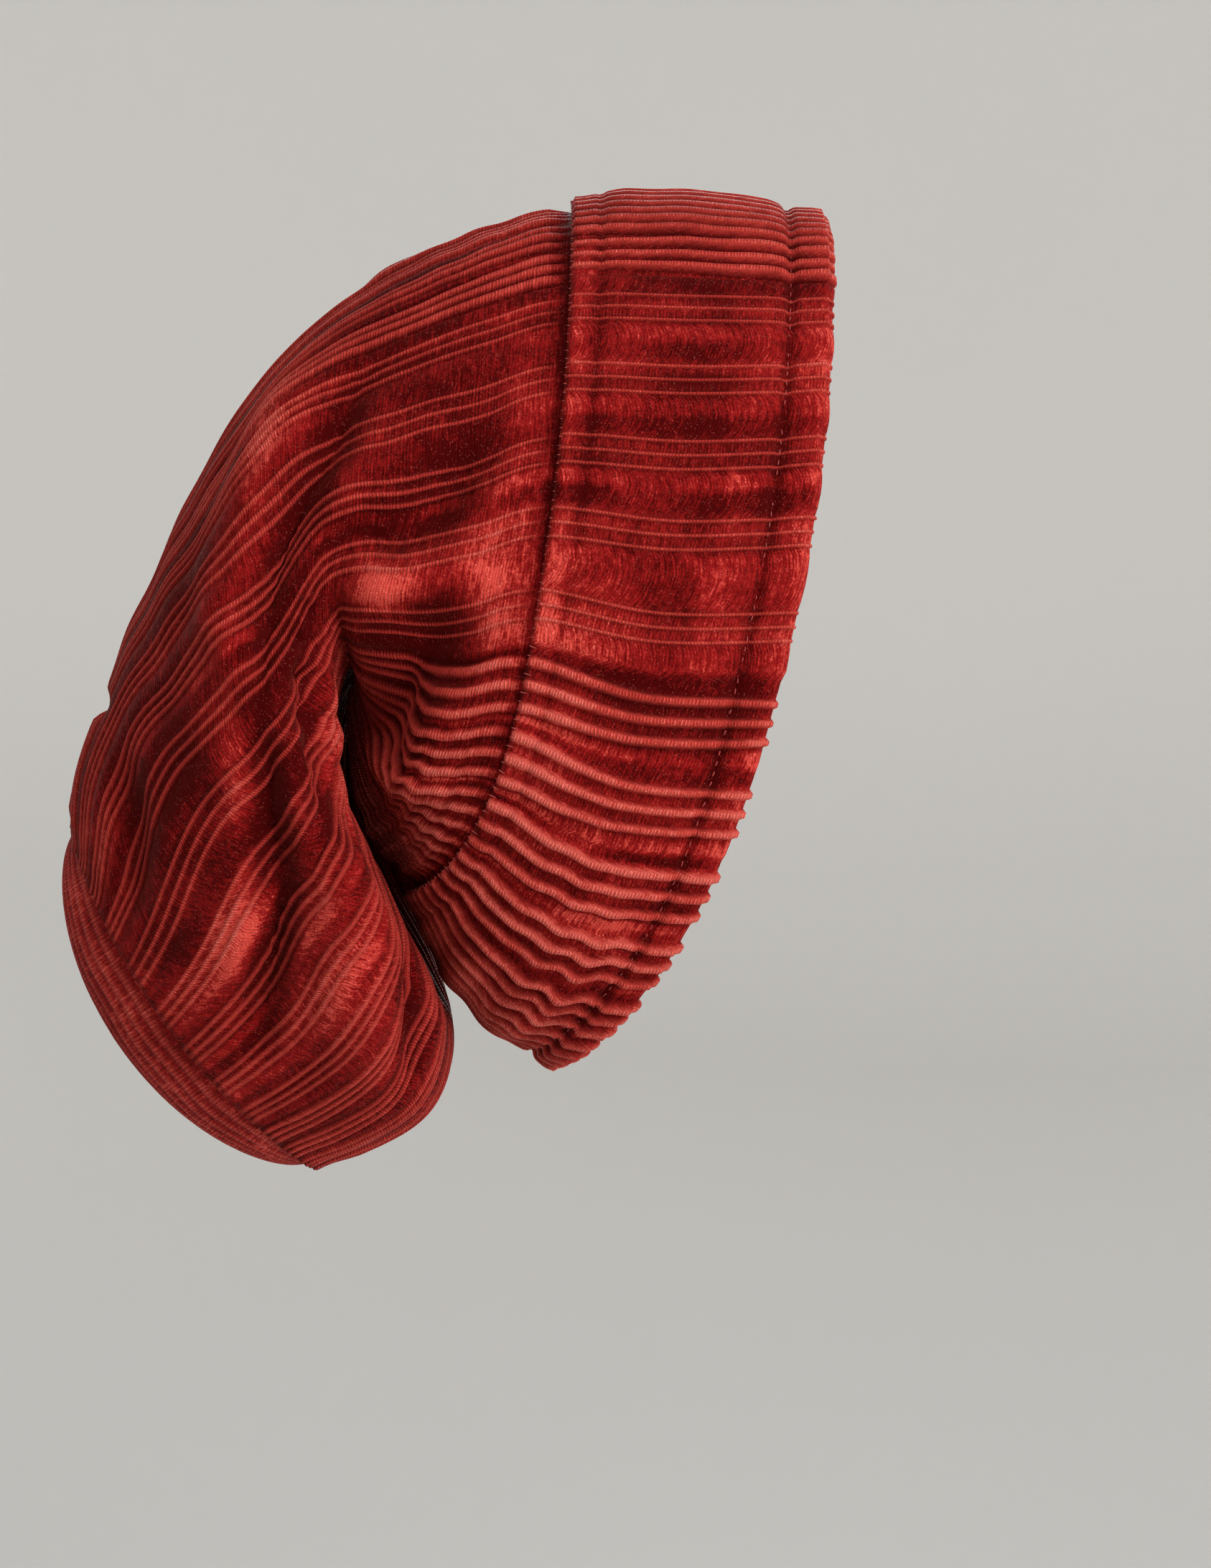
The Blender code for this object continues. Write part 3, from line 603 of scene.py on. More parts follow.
def painted_light_at(rows, shares):
    """How much painted light or painted shade the pile gets, from the table of painted areas."""
    rows = np.asarray(rows, float)[:, None]
    total = np.zeros(shares.shape)
    for _, row, share, row_reach, share_reach, amount in PAINTED_LIGHT:
        total += amount * window(rows, row, row_reach) * round_window(shares, share, share_reach)
    return total


def pleat_lines(rows, cloth, seed):
    """(shares, heights, ridges, tones) of each pleat's lines on every row: where they lie, how high
    they stand, how much each is a ridge, and each line's random tone with painted light on a strip's upper
    side and painted shade on its lower side and in closed valleys.

    A pleat is a flat strip and three narrow ridges at a steady pitch. Where the cloth is stretched the
    strips lie open. Where it is bunched the strips close up and the ridges stand high and round.
    """
    chance = np.random.default_rng(seed)
    lines = cloth_shares(PLEATS)
    width = np.diff(lines).min()
    lines[1:-1] += chance.uniform(-1, 1, PLEATS - 1) * cloth.width_variation * width / 2
    tall = chance.uniform(*RIDGE_HEIGHTS, (PLEATS, 3))
    tones_and_painted_light = chance.uniform(-1, 1, (PLEATS, 5)) * cloth.shade_variation
    # Painted light on each strip's upper side and painted shade on its lower side
    upper_side = np.where((lines[1:] + lines[:-1]) / 2 < 0.5, 1, -1)
    tones_and_painted_light[:, 0] -= cloth.strip_painted_light * upper_side
    tones_and_painted_light[:, 4] += cloth.strip_painted_light * upper_side
    lengths = row_lengths(rows)
    grid = []
    for row, length in zip(rows, lengths[:, 0]):
        at = place_on_row(lines, row)
        widths = np.diff(at) * length
        middles = (at[1:] + at[:-1]) / 2 * length
        wide, narrow = stretch_at(row, (at[1:] + at[:-1]) / 2)
        closed = np.clip((wide - widths) / (wide - narrow), 0, 1)
        closed = closed**2 * (3 - 2 * closed)
        pitch = np.minimum(cloth.ridge_pitch * (1 + CLOSED_SPREAD * closed),
                           widths * (cloth.open_pitch_share * (1 - closed) + closed / CLOSED_PITCHES))
        fullness = np.interp(row, (SEAM_ROW, CREASE_ROW), (1.0, cloth.bag_fullness))
        half_open, high_open = cloth.ridge_half_open * fullness, cloth.ridge_open * fullness
        half = np.minimum(half_open + closed * (cloth.ridge_half_closed - half_open), HALF_LIMIT * pitch)
        gap = widths / 2 - pitch - half
        high = high_open + closed * (cloth.ridge_closed - high_open)
        foot = -cloth.valley_depth * closed
        strip = cloth.strip_bulge * (1 - closed) - STRIP_DROP * cloth.valley_depth * closed
        before, raised, after = [], [], []
        for place, level, valley in STRIP_LINES:
            values = (level * strip + (1 - level) * foot, 0.0, valley * closed)
            before.append((middles - widths / 2 + gap * place, *values))
            after.insert(0, (middles + widths / 2 - gap * place, *values))
        for number, ridge_tall in zip((-1, 0, 1), tall.T):
            middle, crest = middles + number * pitch, high * ridge_tall
            for place, level, ridge in RIDGE_LINES:
                raised.append((middle + place * half, foot + level * (crest - foot), ridge,
                               closed * (1 - level)))
        section = np.array([[np.broadcast_to(value, PLEATS) for value in line]
                            for line in before + raised + after])
        grid.append(section.transpose(1, 2, 0).reshape(4, -1))
    across, heights, ridges, valleys = np.array(grid).transpose(1, 0, 2)
    shares = across / lengths
    shares += crumpled(rows, shares, "waver", seed + WAVER_SEED) / lengths
    # Each line's random tone, drifting along the rows, less the painted shade in closed valleys
    shade = tones_and_painted_light[:, LINE_SHADES].ravel()
    drift = ripple(np.asarray(rows, float)[:, None], shares, SHADE_WAVE_ROWS, seed + SHADE_SEED)
    return shares, heights, ridges, shade * (1 + SHADE_DRIFT * drift) - VALLEY_SHADE * valleys


def grid_normals(points, fallback):
    """Outward normals of a grid whose columns close on themselves."""
    along_row = np.gradient(points, axis=0)
    round_loop = np.roll(points, -1, axis=1) - np.roll(points, 1, axis=1)
    return unit(unit(np.cross(along_row, round_loop)) + NORMAL_BLEND * fallback)


# Meshes


def add_object(name, points, faces, materials):
    mesh = bpy.data.meshes.new(name)
    mesh.from_pydata([tuple(point) for point in points], [], faces)
    for material in materials:
        mesh.materials.append(material)
    mesh.shade_smooth()
    piece = bpy.data.objects.new(name, mesh)
    bpy.context.scene.collection.objects.link(piece)
    return piece


def point_values(piece, name, values):
    layer = piece.data.attributes.new(name, "FLOAT", "POINT")
    layer.data.foreach_set("value", np.asarray(values, np.float32).ravel())


def cloth_map(piece, coordinates):
    """A map of the cloth in metres: across the pleats and along them."""
    layer = piece.data.uv_layers.new(name="cloth")
    corners = np.empty(len(piece.data.loops), np.int32)
    piece.data.loops.foreach_get("vertex_index", corners)
    layer.data.foreach_set("uv", np.asarray(coordinates, np.float32)[corners].ravel())


def point_faces_out(piece):
    shape = bmesh.new()
    shape.from_mesh(piece.data)
    bmesh.ops.recalc_face_normals(shape, faces=shape.faces)
    shape.to_mesh(piece.data)
    shape.free()


def grid_faces(rows, columns, first=0, outward=True):
    """Quads of a grid of points whose columns close on themselves."""
    faces = []
    for row in range(rows - 1):
        for place in range(columns):
            beside = (place + 1) % columns
            corners = (first + row * columns + place, first + row * columns + beside,
                       first + (row + 1) * columns + beside, first + (row + 1) * columns + place)
            faces.append(corners if outward else corners[::-1])
    return faces


def run_along(points):
    """How far along its own line each point of a grid lies, row after row."""
    steps = np.linalg.norm(np.diff(points, axis=0), axis=2)
    return np.concatenate([np.zeros((1, points.shape[1])), np.cumsum(steps, axis=0)])


def crown_faces(cloth):
    """The crown's outer and inner grids, with the values that its material reads."""
    tuck_row = SEAM_ROW - SEAM_ROW * CROWN_TUCK / CUFF_WIDTH
    rows = np.concatenate([[tuck_row], np.linspace(SEAM_ROW - TUCK_ROWS, LAST_ROW, CROWN_GRID_ROWS)])
    shares, heights, ridges, tones_and_painted_light = pleat_lines(rows, cloth, CROWN_SEED)
    smooth, ways = laid_out(rows, shares)
    base = folded(rows, smooth, ways, shares)
    rise = np.sum((base - smooth) * ways, axis=2)
    # Painted light where the folds rise and painted shade where they sink, added to the painted areas and
    # the pleats' tones
    nap = painted_light_at(rows, shares) + np.clip(rise / FOLD_PAINTED_LIGHT_RISE, -FOLD_PAINTED_LIGHT_LIMIT, FOLD_PAINTED_LIGHT_LIMIT) + tones_and_painted_light
    ways = grid_normals(base, ways)
    base = base + crumpled(rows, shares, "height", CROWN_SEED + HEIGHT_SEED)[..., None] * ways
    from_seam = np.clip((rows - SEAM_ROW) / PLEAT_START_ROWS, 0, 1)[:, None]
    from_low = np.abs(np.mod(shares, 1.0) - 0.5)
    in_crease = np.clip(1 - np.abs(rows[:, None] - CREASE_ROW) / CREASE_FLAT_ROWS, 0, 1)
    in_crease = in_crease * np.clip(1 - from_low / CREASE_FLAT_SHARE, 0, 1)
    by_end = np.clip((LAST_ROW - rows) / END_FADE_ROWS, END_PLEAT, 1)[:, None]
    height = heights * from_seam * (1 - in_crease) * by_end
    outer = base + height[..., None] * ways
    inner = base + (INNER_RELIEF * height - CROWN_WALL)[..., None] * ways
    return rows, shares, outer, inner, ridges * from_seam, nap


def make_crown(cloth, materials):
    rows, shares, outer, inner, ridges, nap = crown_faces(cloth)
    count, columns = outer.shape[:2]
    picked = [0] + list(range(1, count - 1, INNER_ROW_STEP)) + [count - 1]
    inner = inner[picked][:, ::2]
    half = columns // 2
    faces = grid_faces(count, columns)
    first = count * columns
    faces += grid_faces(len(picked), half, first, outward=False)
    last_outer, last_inner = (count - 1) * columns, first + (len(picked) - 1) * half
    for place in range(half):
        beside = (place + 1) % half
        a, b, c = 2 * place, 2 * place + 1, (2 * place + 2) % columns
        faces.append((a, first + place, first + beside, c, b))
        end = (last_outer + a, last_outer + b, last_outer + c)
        faces.append((*end, last_inner + beside, last_inner + place))
    piece = add_object("crown_cloth", np.concatenate([outer.reshape(-1, 3), inner.reshape(-1, 3)]), faces,
                       materials)
    places = np.stack([shares * row_lengths(rows), run_along(outer)], axis=2)
    inside = places[picked][:, ::2]
    cloth_map(piece, np.concatenate([places.reshape(-1, 2), inside.reshape(-1, 2)]))
    # nap carries the painted light and shade together with the pleats' random tones
    for name, values in (("ridge", ridges), ("nap", nap)):
        point_values(piece, name, np.concatenate([values.ravel(), values[picked][:, ::2].ravel()]))
    paint_inside(piece, count * columns)
    point_faces_out(piece)
    return piece


def paint_inside(piece, first):
    """Gives the cloth's back to the faces whose points all come after the outer grid's."""
    for face in piece.data.polygons:
        if min(face.vertices) >= first:
            face.material_index = 1


def cuff_profile():
    """The cuff's profile, once round its wall: back from the front edge, height over the crown's face,
    the angle it faces and the share of the pleats' height there."""
    radius = CUFF_WALL / 2
    middle = SEWN_GAP + radius
    _, backs, lifts, pleats = zip(*CUFF_ROWS)
    places = np.array(backs) * CUFF_WIDTH
    profile = []
    for back in np.linspace(CUFF_WIDTH - CROWN_TUCK, radius * 2, CUFF_INNER_ROWS):
        show = np.clip((CUFF_WIDTH - CROWN_TUCK - back) / INNER_FADE, 0, 1)
        profile.append((back, SEWN_GAP, -90, INNER_PLEAT * show))
    for angle in np.linspace(-75, 75, CUFF_TURN_ROWS):
        turn = math.radians(angle)
        back = radius * (1 - math.cos(turn))
        profile.append((back, middle + radius * math.sin(turn), angle, FRONT_PLEAT))
    for back in np.linspace(radius * 1.2, CUFF_WIDTH - radius, CUFF_OUTER_ROWS):
        lift = np.interp(back, places, lifts)
        pleat = np.interp(back, places, pleats)
        for _, at, deep, wide in CUFF_PINCHES:
            lift -= deep * math.exp(-((back - at * CUFF_WIDTH) / wide) ** 2)
        profile.append((back, SEWN_GAP + CUFF_WALL * (1 + lift), 90, pleat))
    for angle in np.linspace(60, -90, CUFF_TURN_ROWS):
        turn = math.radians(angle)
        back = CUFF_WIDTH - radius * (1 - math.cos(turn))
        profile.append((back, middle + radius * math.sin(turn), 90, REAR_PLEAT * max(0.0, math.sin(turn))))
    profile.append((CUFF_WIDTH - CROWN_TUCK / 2, SEWN_GAP, -90, 0.0))
    return profile


def make_cuff(cloth, materials):
    backs, over, facing, pleat = (np.array(values, float) for values in zip(*cuff_profile()))
    over, facing, pleat = over[:, None], np.radians(facing)[:, None], pleat[:, None]
    rows = SEAM_ROW * backs / CUFF_WIDTH
    shares, heights, ridges, tones_and_painted_light = pleat_lines(rows, cloth, CUFF_SEED)
    smooth, ways = laid_out(rows, shares)
    ahead, _ = laid_out(rows - NORMAL_STEP, shares)
    forward = unit(ahead - smooth)
    crumple = crumpled(rows, shares, "height", CUFF_SEED + HEIGHT_SEED)
    grown = pleat * heights
    lifted = over + np.sin(facing) * grown + np.maximum(crumple, -CRUMPLE_LIMIT * CUFF_WALL) * (pleat > 0)
    points = smooth + lifted[..., None] * ways + (np.cos(facing) * grown)[..., None] * forward
    count, columns = points.shape[:2]
    faces = grid_faces(count, columns)
    for place in range(columns):
        beside = (place + 1) % columns
        faces.append(((count - 1) * columns + place, (count - 1) * columns + beside, beside, place))
    piece = add_object("cuff_cloth", points.reshape(-1, 3), faces, materials)
    cloth_map(piece, np.stack([shares * row_lengths(rows), run_along(points)], axis=2).reshape(-1, 2))
    point_values(piece, "ridge", (ridges * (pleat > 0)).ravel())
    # The cuff's painted light and shade, with the pleats' random tones
    point_values(piece, "nap", (painted_light_at(rows, shares) + tones_and_painted_light).ravel())
    point_faces_out(piece)
    return piece


def panel_rim(cloth):
    """The end panel's near and far edges, from the bag's back corner down to its lowest point."""
    even = np.arange(2 * PANEL_STEPS) / (2 * PANEL_STEPS)
    loops = []
    for row in (LAST_ROW - TUCK_ROWS, LAST_ROW):
        smooth, ways = laid_out([row], even[None, :])
        loops.append((smooth - CROWN_WALL * ways)[0])
    inside = unit(loops[0] - loops[1])
    loop = loops[1] + PANEL_TUCK * inside
    middle = loop.mean(axis=0)
    loop = loop + (SEWN_GAP + cloth.ridge_closed * PANEL_GAP) * unit(middle - loop)
    near = loop[:PANEL_STEPS + 1]
    far = np.concatenate([loop[:1], loop[:PANEL_STEPS - 1:-1]])
    return near, far


def make_end_panel(cloth, materials):
    near, far = panel_rim(cloth)
    chord = near[-1] - near[0]
    outward = np.array([chord[2], 0, -chord[0]]) / np.linalg.norm(chord)
    outward *= -math.copysign(1, outward[0])
    half_widths = np.linalg.norm(near - far, axis=1) / 2
    drift = np.random.default_rng(PANEL_SEED).uniform(0, 1, 3)
    points, ridges = [], []
    for step in range(PANEL_STEPS + 1):
        middle, half = (near[step] + far[step]) / 2, (near[step] - far[step]) / 2
        fullness = half_widths[step] / half_widths.max()
        along = step / PANEL_STEPS
        sway = sum(size * math.sin(2 * math.pi * (turns * along + begun))
                   for (size, turns), begun in zip(PANEL_SWAYS, drift))
        for place in range(PANEL_ACROSS + 1):
            share = 1 - 2 * place / PANEL_ACROSS
            swayed = share + sway * (1 - share**2)
            ridge = 0.5 + 0.5 * math.cos(math.pi * PANEL_RIDGES * swayed + drift[2] * PANEL_START)
            lift = PANEL_BULGE * fullness * (1 - share**2)
            rise = PANEL_RELIEF * ridge * fullness * min(1, PANEL_EDGE_FADE * (1 - abs(share)))
            lift += cloth.ridge_closed * rise
            points.append(middle + share * half + lift * outward)
            ridges.append(ridge)
    faces = []
    for step in range(PANEL_STEPS):
        for place in range(PANEL_ACROSS):
            corner = step * (PANEL_ACROSS + 1) + place
            faces.append((corner, corner + 1, corner + PANEL_ACROSS + 2, corner + PANEL_ACROSS + 1))
    piece = add_object("end_panel_cloth", points, faces, materials)
    wide, long = half_widths.max(), np.linalg.norm(chord)
    cloth_map(piece, [((1 - 2 * place / PANEL_ACROSS) * wide, step / PANEL_STEPS * long)
                      for step in range(PANEL_STEPS + 1) for place in range(PANEL_ACROSS + 1)])
    point_values(piece, "ridge", ridges)
    point_values(piece, "nap", np.full(len(points), PANEL_PAINTED_LIGHT))
    shape = bmesh.new()
    shape.from_mesh(piece.data)
    bmesh.ops.remove_doubles(shape, verts=shape.verts, dist=PANEL_WELD)
    shape.to_mesh(piece.data)
    shape.free()
    thicken(piece, PANEL_WALL)
    point_faces_out(piece)
    return piece


def thicken(piece, wall):
    """Gives an open sheet its wall, on the inner side, as a plain mesh."""
    modifier = piece.modifiers.new("wall", "SOLIDIFY")
    modifier.thickness = wall
    modifier.offset = -1.0
    modifier.material_offset = 1
    modifier.material_offset_rim = 1
    graph = bpy.context.evaluated_depsgraph_get()
    finished = bpy.data.meshes.new_from_object(piece.evaluated_get(graph))
    piece.modifiers.clear()
    piece.data = finished


# Materials


def set_inputs(tree, node, values):
    """Sets each of a node's named or numbered inputs, or links it where the value is another's output."""
    for name, value in values.items():
        if isinstance(value, bpy.types.NodeSocket):
            tree.links.new(value, node.inputs[name])
        else:
            node.inputs[name].default_value = value


def add_node(tree, kind, values=None, **settings):
    """A node with its settings and inputs."""
    made = tree.nodes.new(kind)
    for name, value in settings.items():
        setattr(made, name, value)
    set_inputs(tree, made, values or {})
    return made


def maths(tree, operation, *values):
    """One step of arithmetic on numbers or other nodes' outputs."""
    return add_node(tree, "ShaderNodeMath", dict(enumerate(values)), operation=operation).outputs[0]


def noise(tree, vector, scale, detail, **more):
    """A noise texture's value over a vector."""
    values = {"Vector": vector, "Scale": scale, "Detail": detail}
    values.update({name.capitalize(): value for name, value in more.items()})
    return add_node(tree, "ShaderNodeTexNoise", values).outputs["Fac"]


def between(tree, value, low, high):
    """How far a value lies from low to high, as a smooth share."""
    made = add_node(tree, "ShaderNodeMapRange", {0: value, 1: low, 2: high, 3: 0.0, 4: 1.0},
                    interpolation_type="SMOOTHSTEP")
    return made.outputs[0]


def mixed(tree, share, first, second):
    """Two colours mixed by a share."""
    made = add_node(tree, "ShaderNodeMix", {0: share, 6: first, 7: second}, data_type="RGBA")
    return made.outputs[2]


def new_group(name, inputs, outputs, kind="Shader"):
    """A node group with named inputs and outputs, and its two end nodes."""
    tree = bpy.data.node_groups.new(name, kind + "NodeTree")
    for title, holds, default in inputs:
        socket = tree.interface.new_socket(title, in_out="INPUT", socket_type="NodeSocket" + holds)
        if default is not None:
            socket.default_value = default
    for title, holds in outputs:
        tree.interface.new_socket(title, in_out="OUTPUT", socket_type="NodeSocket" + holds)
    return tree, tree.nodes.new("NodeGroupInput"), tree.nodes.new("NodeGroupOutput")


def pile_group():
    """Crushed pile: grains, broad brushed patches and the height that they give the surface."""
    tree, start, end = new_group(
        "crushed_pile",
        (("Position", "Vector", None), ("Grain", "Float", 1500.0), ("Patch", "Float", 55.0)),
        (("Patches", "Float"), ("Grains", "Float"), ("Height", "Float")))
    position, fine = start.outputs["Position"], start.outputs["Grain"]
    broad = noise(tree, position, start.outputs["Patch"], 3.0, roughness=0.55, distortion=0.4)
    grain = noise(tree, position, fine, 2.0, roughness=0.6)
    clump = noise(tree, position, maths(tree, "MULTIPLY", fine, 0.30), 1.0)
    patches = between(tree, broad, 0.40, 0.66)
    grains = maths(tree, "MULTIPLY", between(tree, grain, 0.30, 0.72), 0.65)
    grains = maths(tree, "MULTIPLY_ADD", between(tree, clump, 0.34, 0.68), 0.35, grains)
    height = maths(tree, "MULTIPLY_ADD", patches, 0.5, grains)
    set_inputs(tree, end, {"Patches": patches, "Grains": grains, "Height": height})
    return tree


def knit_group():
    """Knitted rows across the ridges, as short bars with a broken rhythm, and fine streaks of pile."""
    tree, start, end = new_group(
        "knit_bars",
        (("Cloth", "Vector", None), ("Spacing", "Float", 0.00095)),
        (("Bars", "Float"), ("Streaks", "Float")))
    cloth = start.outputs["Cloth"]
    along = add_node(tree, "ShaderNodeSeparateXYZ", {0: cloth}).outputs["Y"]
    shift = maths(tree, "MULTIPLY", noise(tree, cloth, 260.0, 1.0), 0.0011)
    turns = maths(tree, "DIVIDE", maths(tree, "ADD", along, shift), start.outputs["Spacing"])
    wave = maths(tree, "SINE", maths(tree, "MULTIPLY", turns, 2 * math.pi))
    drawn = add_node(tree, "ShaderNodeVectorMath", {0: cloth, 1: STREAK_SCALE}, operation="MULTIPLY")
    streaks = between(tree, noise(tree, drawn.outputs[0], 1.0, 3.0), 0.34, 0.68)
    set_inputs(tree, end, {"Bars": between(tree, wave, -0.5, 0.8), "Streaks": streaks})
    return tree


def glint_group():
    """Painted glints on the pile, as small far-apart points."""
    tree, start, end = new_group(
        "glints", (("Position", "Vector", None), ("Scale", "Float", 1900.0)), (("Glints", "Float"),))
    cells = add_node(tree, "ShaderNodeTexVoronoi", {
        "Vector": start.outputs["Position"], "Scale": start.outputs["Scale"], "Randomness": 1.0})
    chosen = add_node(tree, "ShaderNodeSeparateColor", {0: cells.outputs["Color"]})
    near = between(tree, cells.outputs["Distance"], 0.42, 0.15)
    rare = maths(tree, "GREATER_THAN", chosen.outputs[0], 0.80)
    set_inputs(tree, end, {"Glints": maths(tree, "MULTIPLY", near, rare)})
    return tree


def group_node(tree, group, values):
    return add_node(tree, "ShaderNodeGroup", values, node_tree=group)


def new_material(name):
    """(material, node tree, shader, position on the object)"""
    material = bpy.data.materials.new(name)
    material.use_nodes = True
    tree = material.node_tree
    position = add_node(tree, "ShaderNodeTexCoord").outputs["Object"]
    return material, tree, tree.nodes["Principled BSDF"], position


def velvet_material(name, colours, groups, patch_size):
    """Crushed velvet: dark open strips, ridges with knitted bars and a painted highlight, random pile
    patches, painted light and shade from the mesh, and painted glints.
    """
    material, tree, shader, position = new_material(name)
    deep, middle, bright, glint = (colours[key] for key in ("deep", "middle", "bright", "glint"))
    cloth = add_node(tree, "ShaderNodeUVMap", uv_map="cloth").outputs["UV"]
    ridge = add_node(tree, "ShaderNodeAttribute", attribute_name="ridge").outputs["Fac"]
    ridge = maths(tree, "POWER", ridge, RIDGE_SHARPNESS)
    nap = add_node(tree, "ShaderNodeAttribute", attribute_name="nap").outputs["Fac"]
    pile = group_node(tree, groups["pile"], {"Position": position, "Patch": patch_size})
    grains = pile.outputs["Grains"]
    knit = group_node(tree, groups["knit"], {"Cloth": cloth})
    bars = knit.outputs["Bars"]
    glints = group_node(tree, groups["glints"], {"Position": position}).outputs["Glints"]
    # The pile's random patches, streaks and grains, with the painted light and shade that the mesh carries
    tone_and_painted_light = maths(tree, "MULTIPLY_ADD", pile.outputs["Patches"], PATCH_WEIGHT, nap)
    tone_and_painted_light = maths(tree, "MULTIPLY_ADD", knit.outputs["Streaks"], STREAK_WEIGHT, tone_and_painted_light)
    tone_and_painted_light = maths(tree, "SUBTRACT", tone_and_painted_light, BRUSH_BASE)
    tone_and_painted_light = maths(tree, "MULTIPLY_ADD", grains, GRAIN_WEIGHT, tone_and_painted_light)
    low, high = between(tree, tone_and_painted_light, *MIDDLE_PILE), between(tree, tone_and_painted_light, *BRIGHT_PILE)
    # deep is the painted shade's colour and bright the painted light's; a ridge's crest is painted lighter
    # than its strip, a painted highlight
    strip = mixed(tree, high, mixed(tree, low, deep, middle), bright)
    strip = mixed(tree, bars, mixed(tree, BAR_SHADE_ON_STRIP, strip, deep), strip)
    crest = mixed(tree, low, mixed(tree, CREST_FIRST, middle, bright), bright)
    crest = mixed(tree, high, crest, mixed(tree, CREST_LIT, bright, glint))
    crest = mixed(tree, bars, mixed(tree, BAR_SHADE_ON_CREST, crest, deep), crest)
    colour = mixed(tree, maths(tree, "MULTIPLY", ridge, RIDGE_COVER), strip, crest)
    # Painted glints, brighter where the painted light is high
    sparkle = maths(tree, "MULTIPLY", glints, maths(tree, "MULTIPLY_ADD", high, GLINT_GAIN, GLINT_BASE))
    bar_height = maths(tree, "MULTIPLY", bars, maths(tree, "MULTIPLY_ADD", ridge, 0.65, 0.25))
    height = maths(tree, "MULTIPLY_ADD", pile.outputs["Height"], 0.35, bar_height)
    bump = add_node(tree, "ShaderNodeBump", {"Strength": 0.85, "Distance": 0.0006, "Height": height})
    set_inputs(tree, shader, {
        "Base Color": mixed(tree, sparkle, colour, glint),
        "Roughness": maths(tree, "MULTIPLY_ADD", grains, -0.14, 0.52),
        "Normal": bump.outputs["Normal"],
        "Specular IOR Level": 0.05,
        "Specular Tint": bright,
        "Sheen Weight": 0.10,
        "Sheen Roughness": 0.42,
        "Sheen Tint": colours["sheen"],
    })
    return material


def back_material(name, colours, groups):
    """The cloth's matt knitted back."""
    material, tree, shader, position = new_material(name)
    cloth = add_node(tree, "ShaderNodeUVMap", uv_map="cloth").outputs["UV"]
    bars = group_node(tree, groups["knit"], {"Cloth": cloth, "Spacing": 0.0011}).outputs["Bars"]
    grains = group_node(tree, groups["pile"], {"Position": position, "Grain": 900.0}).outputs["Grains"]
    shade = maths(tree, "MULTIPLY_ADD", bars, 0.35, maths(tree, "MULTIPLY", grains, 0.4))
    bump = add_node(tree, "ShaderNodeBump", {"Strength": 0.5, "Distance": 0.0004, "Height": shade})
    set_inputs(tree, shader, {
        "Base Color": mixed(tree, shade, colours["deep"], colours["back"]),
        "Roughness": maths(tree, "MULTIPLY_ADD", grains, 0.1, 0.8),
        "Normal": bump.outputs["Normal"],
        "Specular IOR Level": 0.2,
    })
    return material


def thread_material(colours, groups):
    """Sewing thread, twisted from fine strands."""
    material, tree, shader, position = new_material("sewing_thread")
    pile = group_node(tree, groups["pile"], {"Position": position, "Grain": 2600.0, "Patch": 90.0})
    grains = pile.outputs["Grains"]
    bump = add_node(tree, "ShaderNodeBump", {"Strength": 0.3, "Distance": 0.0002, "Height": grains})
    set_inputs(tree, shader, {
        "Base Color": mixed(tree, grains, colours["thread_dark"], colours["thread"]),
        "Roughness": maths(tree, "MULTIPLY_ADD", grains, 0.15, 0.45),
        "Normal": bump.outputs["Normal"],
    })
    return material


# Stitches


def seam_guide(name, back, over):
    """A line of sewing round the cuff, as a mesh of edges whose points know which way is outward."""
    shares = np.arange(GUIDE_STEPS + 1) / GUIDE_STEPS
    smooth, ways = laid_out([SEAM_ROW * back / CUFF_WIDTH], shares[None, :])
    points = (smooth + over * ways)[0]
    mesh = bpy.data.meshes.new(name)
    mesh.from_pydata([tuple(point) for point in points], [(k, k + 1) for k in range(GUIDE_STEPS)], [])
    layer = mesh.attributes.new("out", "FLOAT_VECTOR", "POINT")
    layer.data.foreach_set("vector", np.asarray(ways[0], np.float32).ravel())
    guide = bpy.data.objects.new(name, mesh)
    bpy.context.scene.collection.objects.link(guide)
    return guide


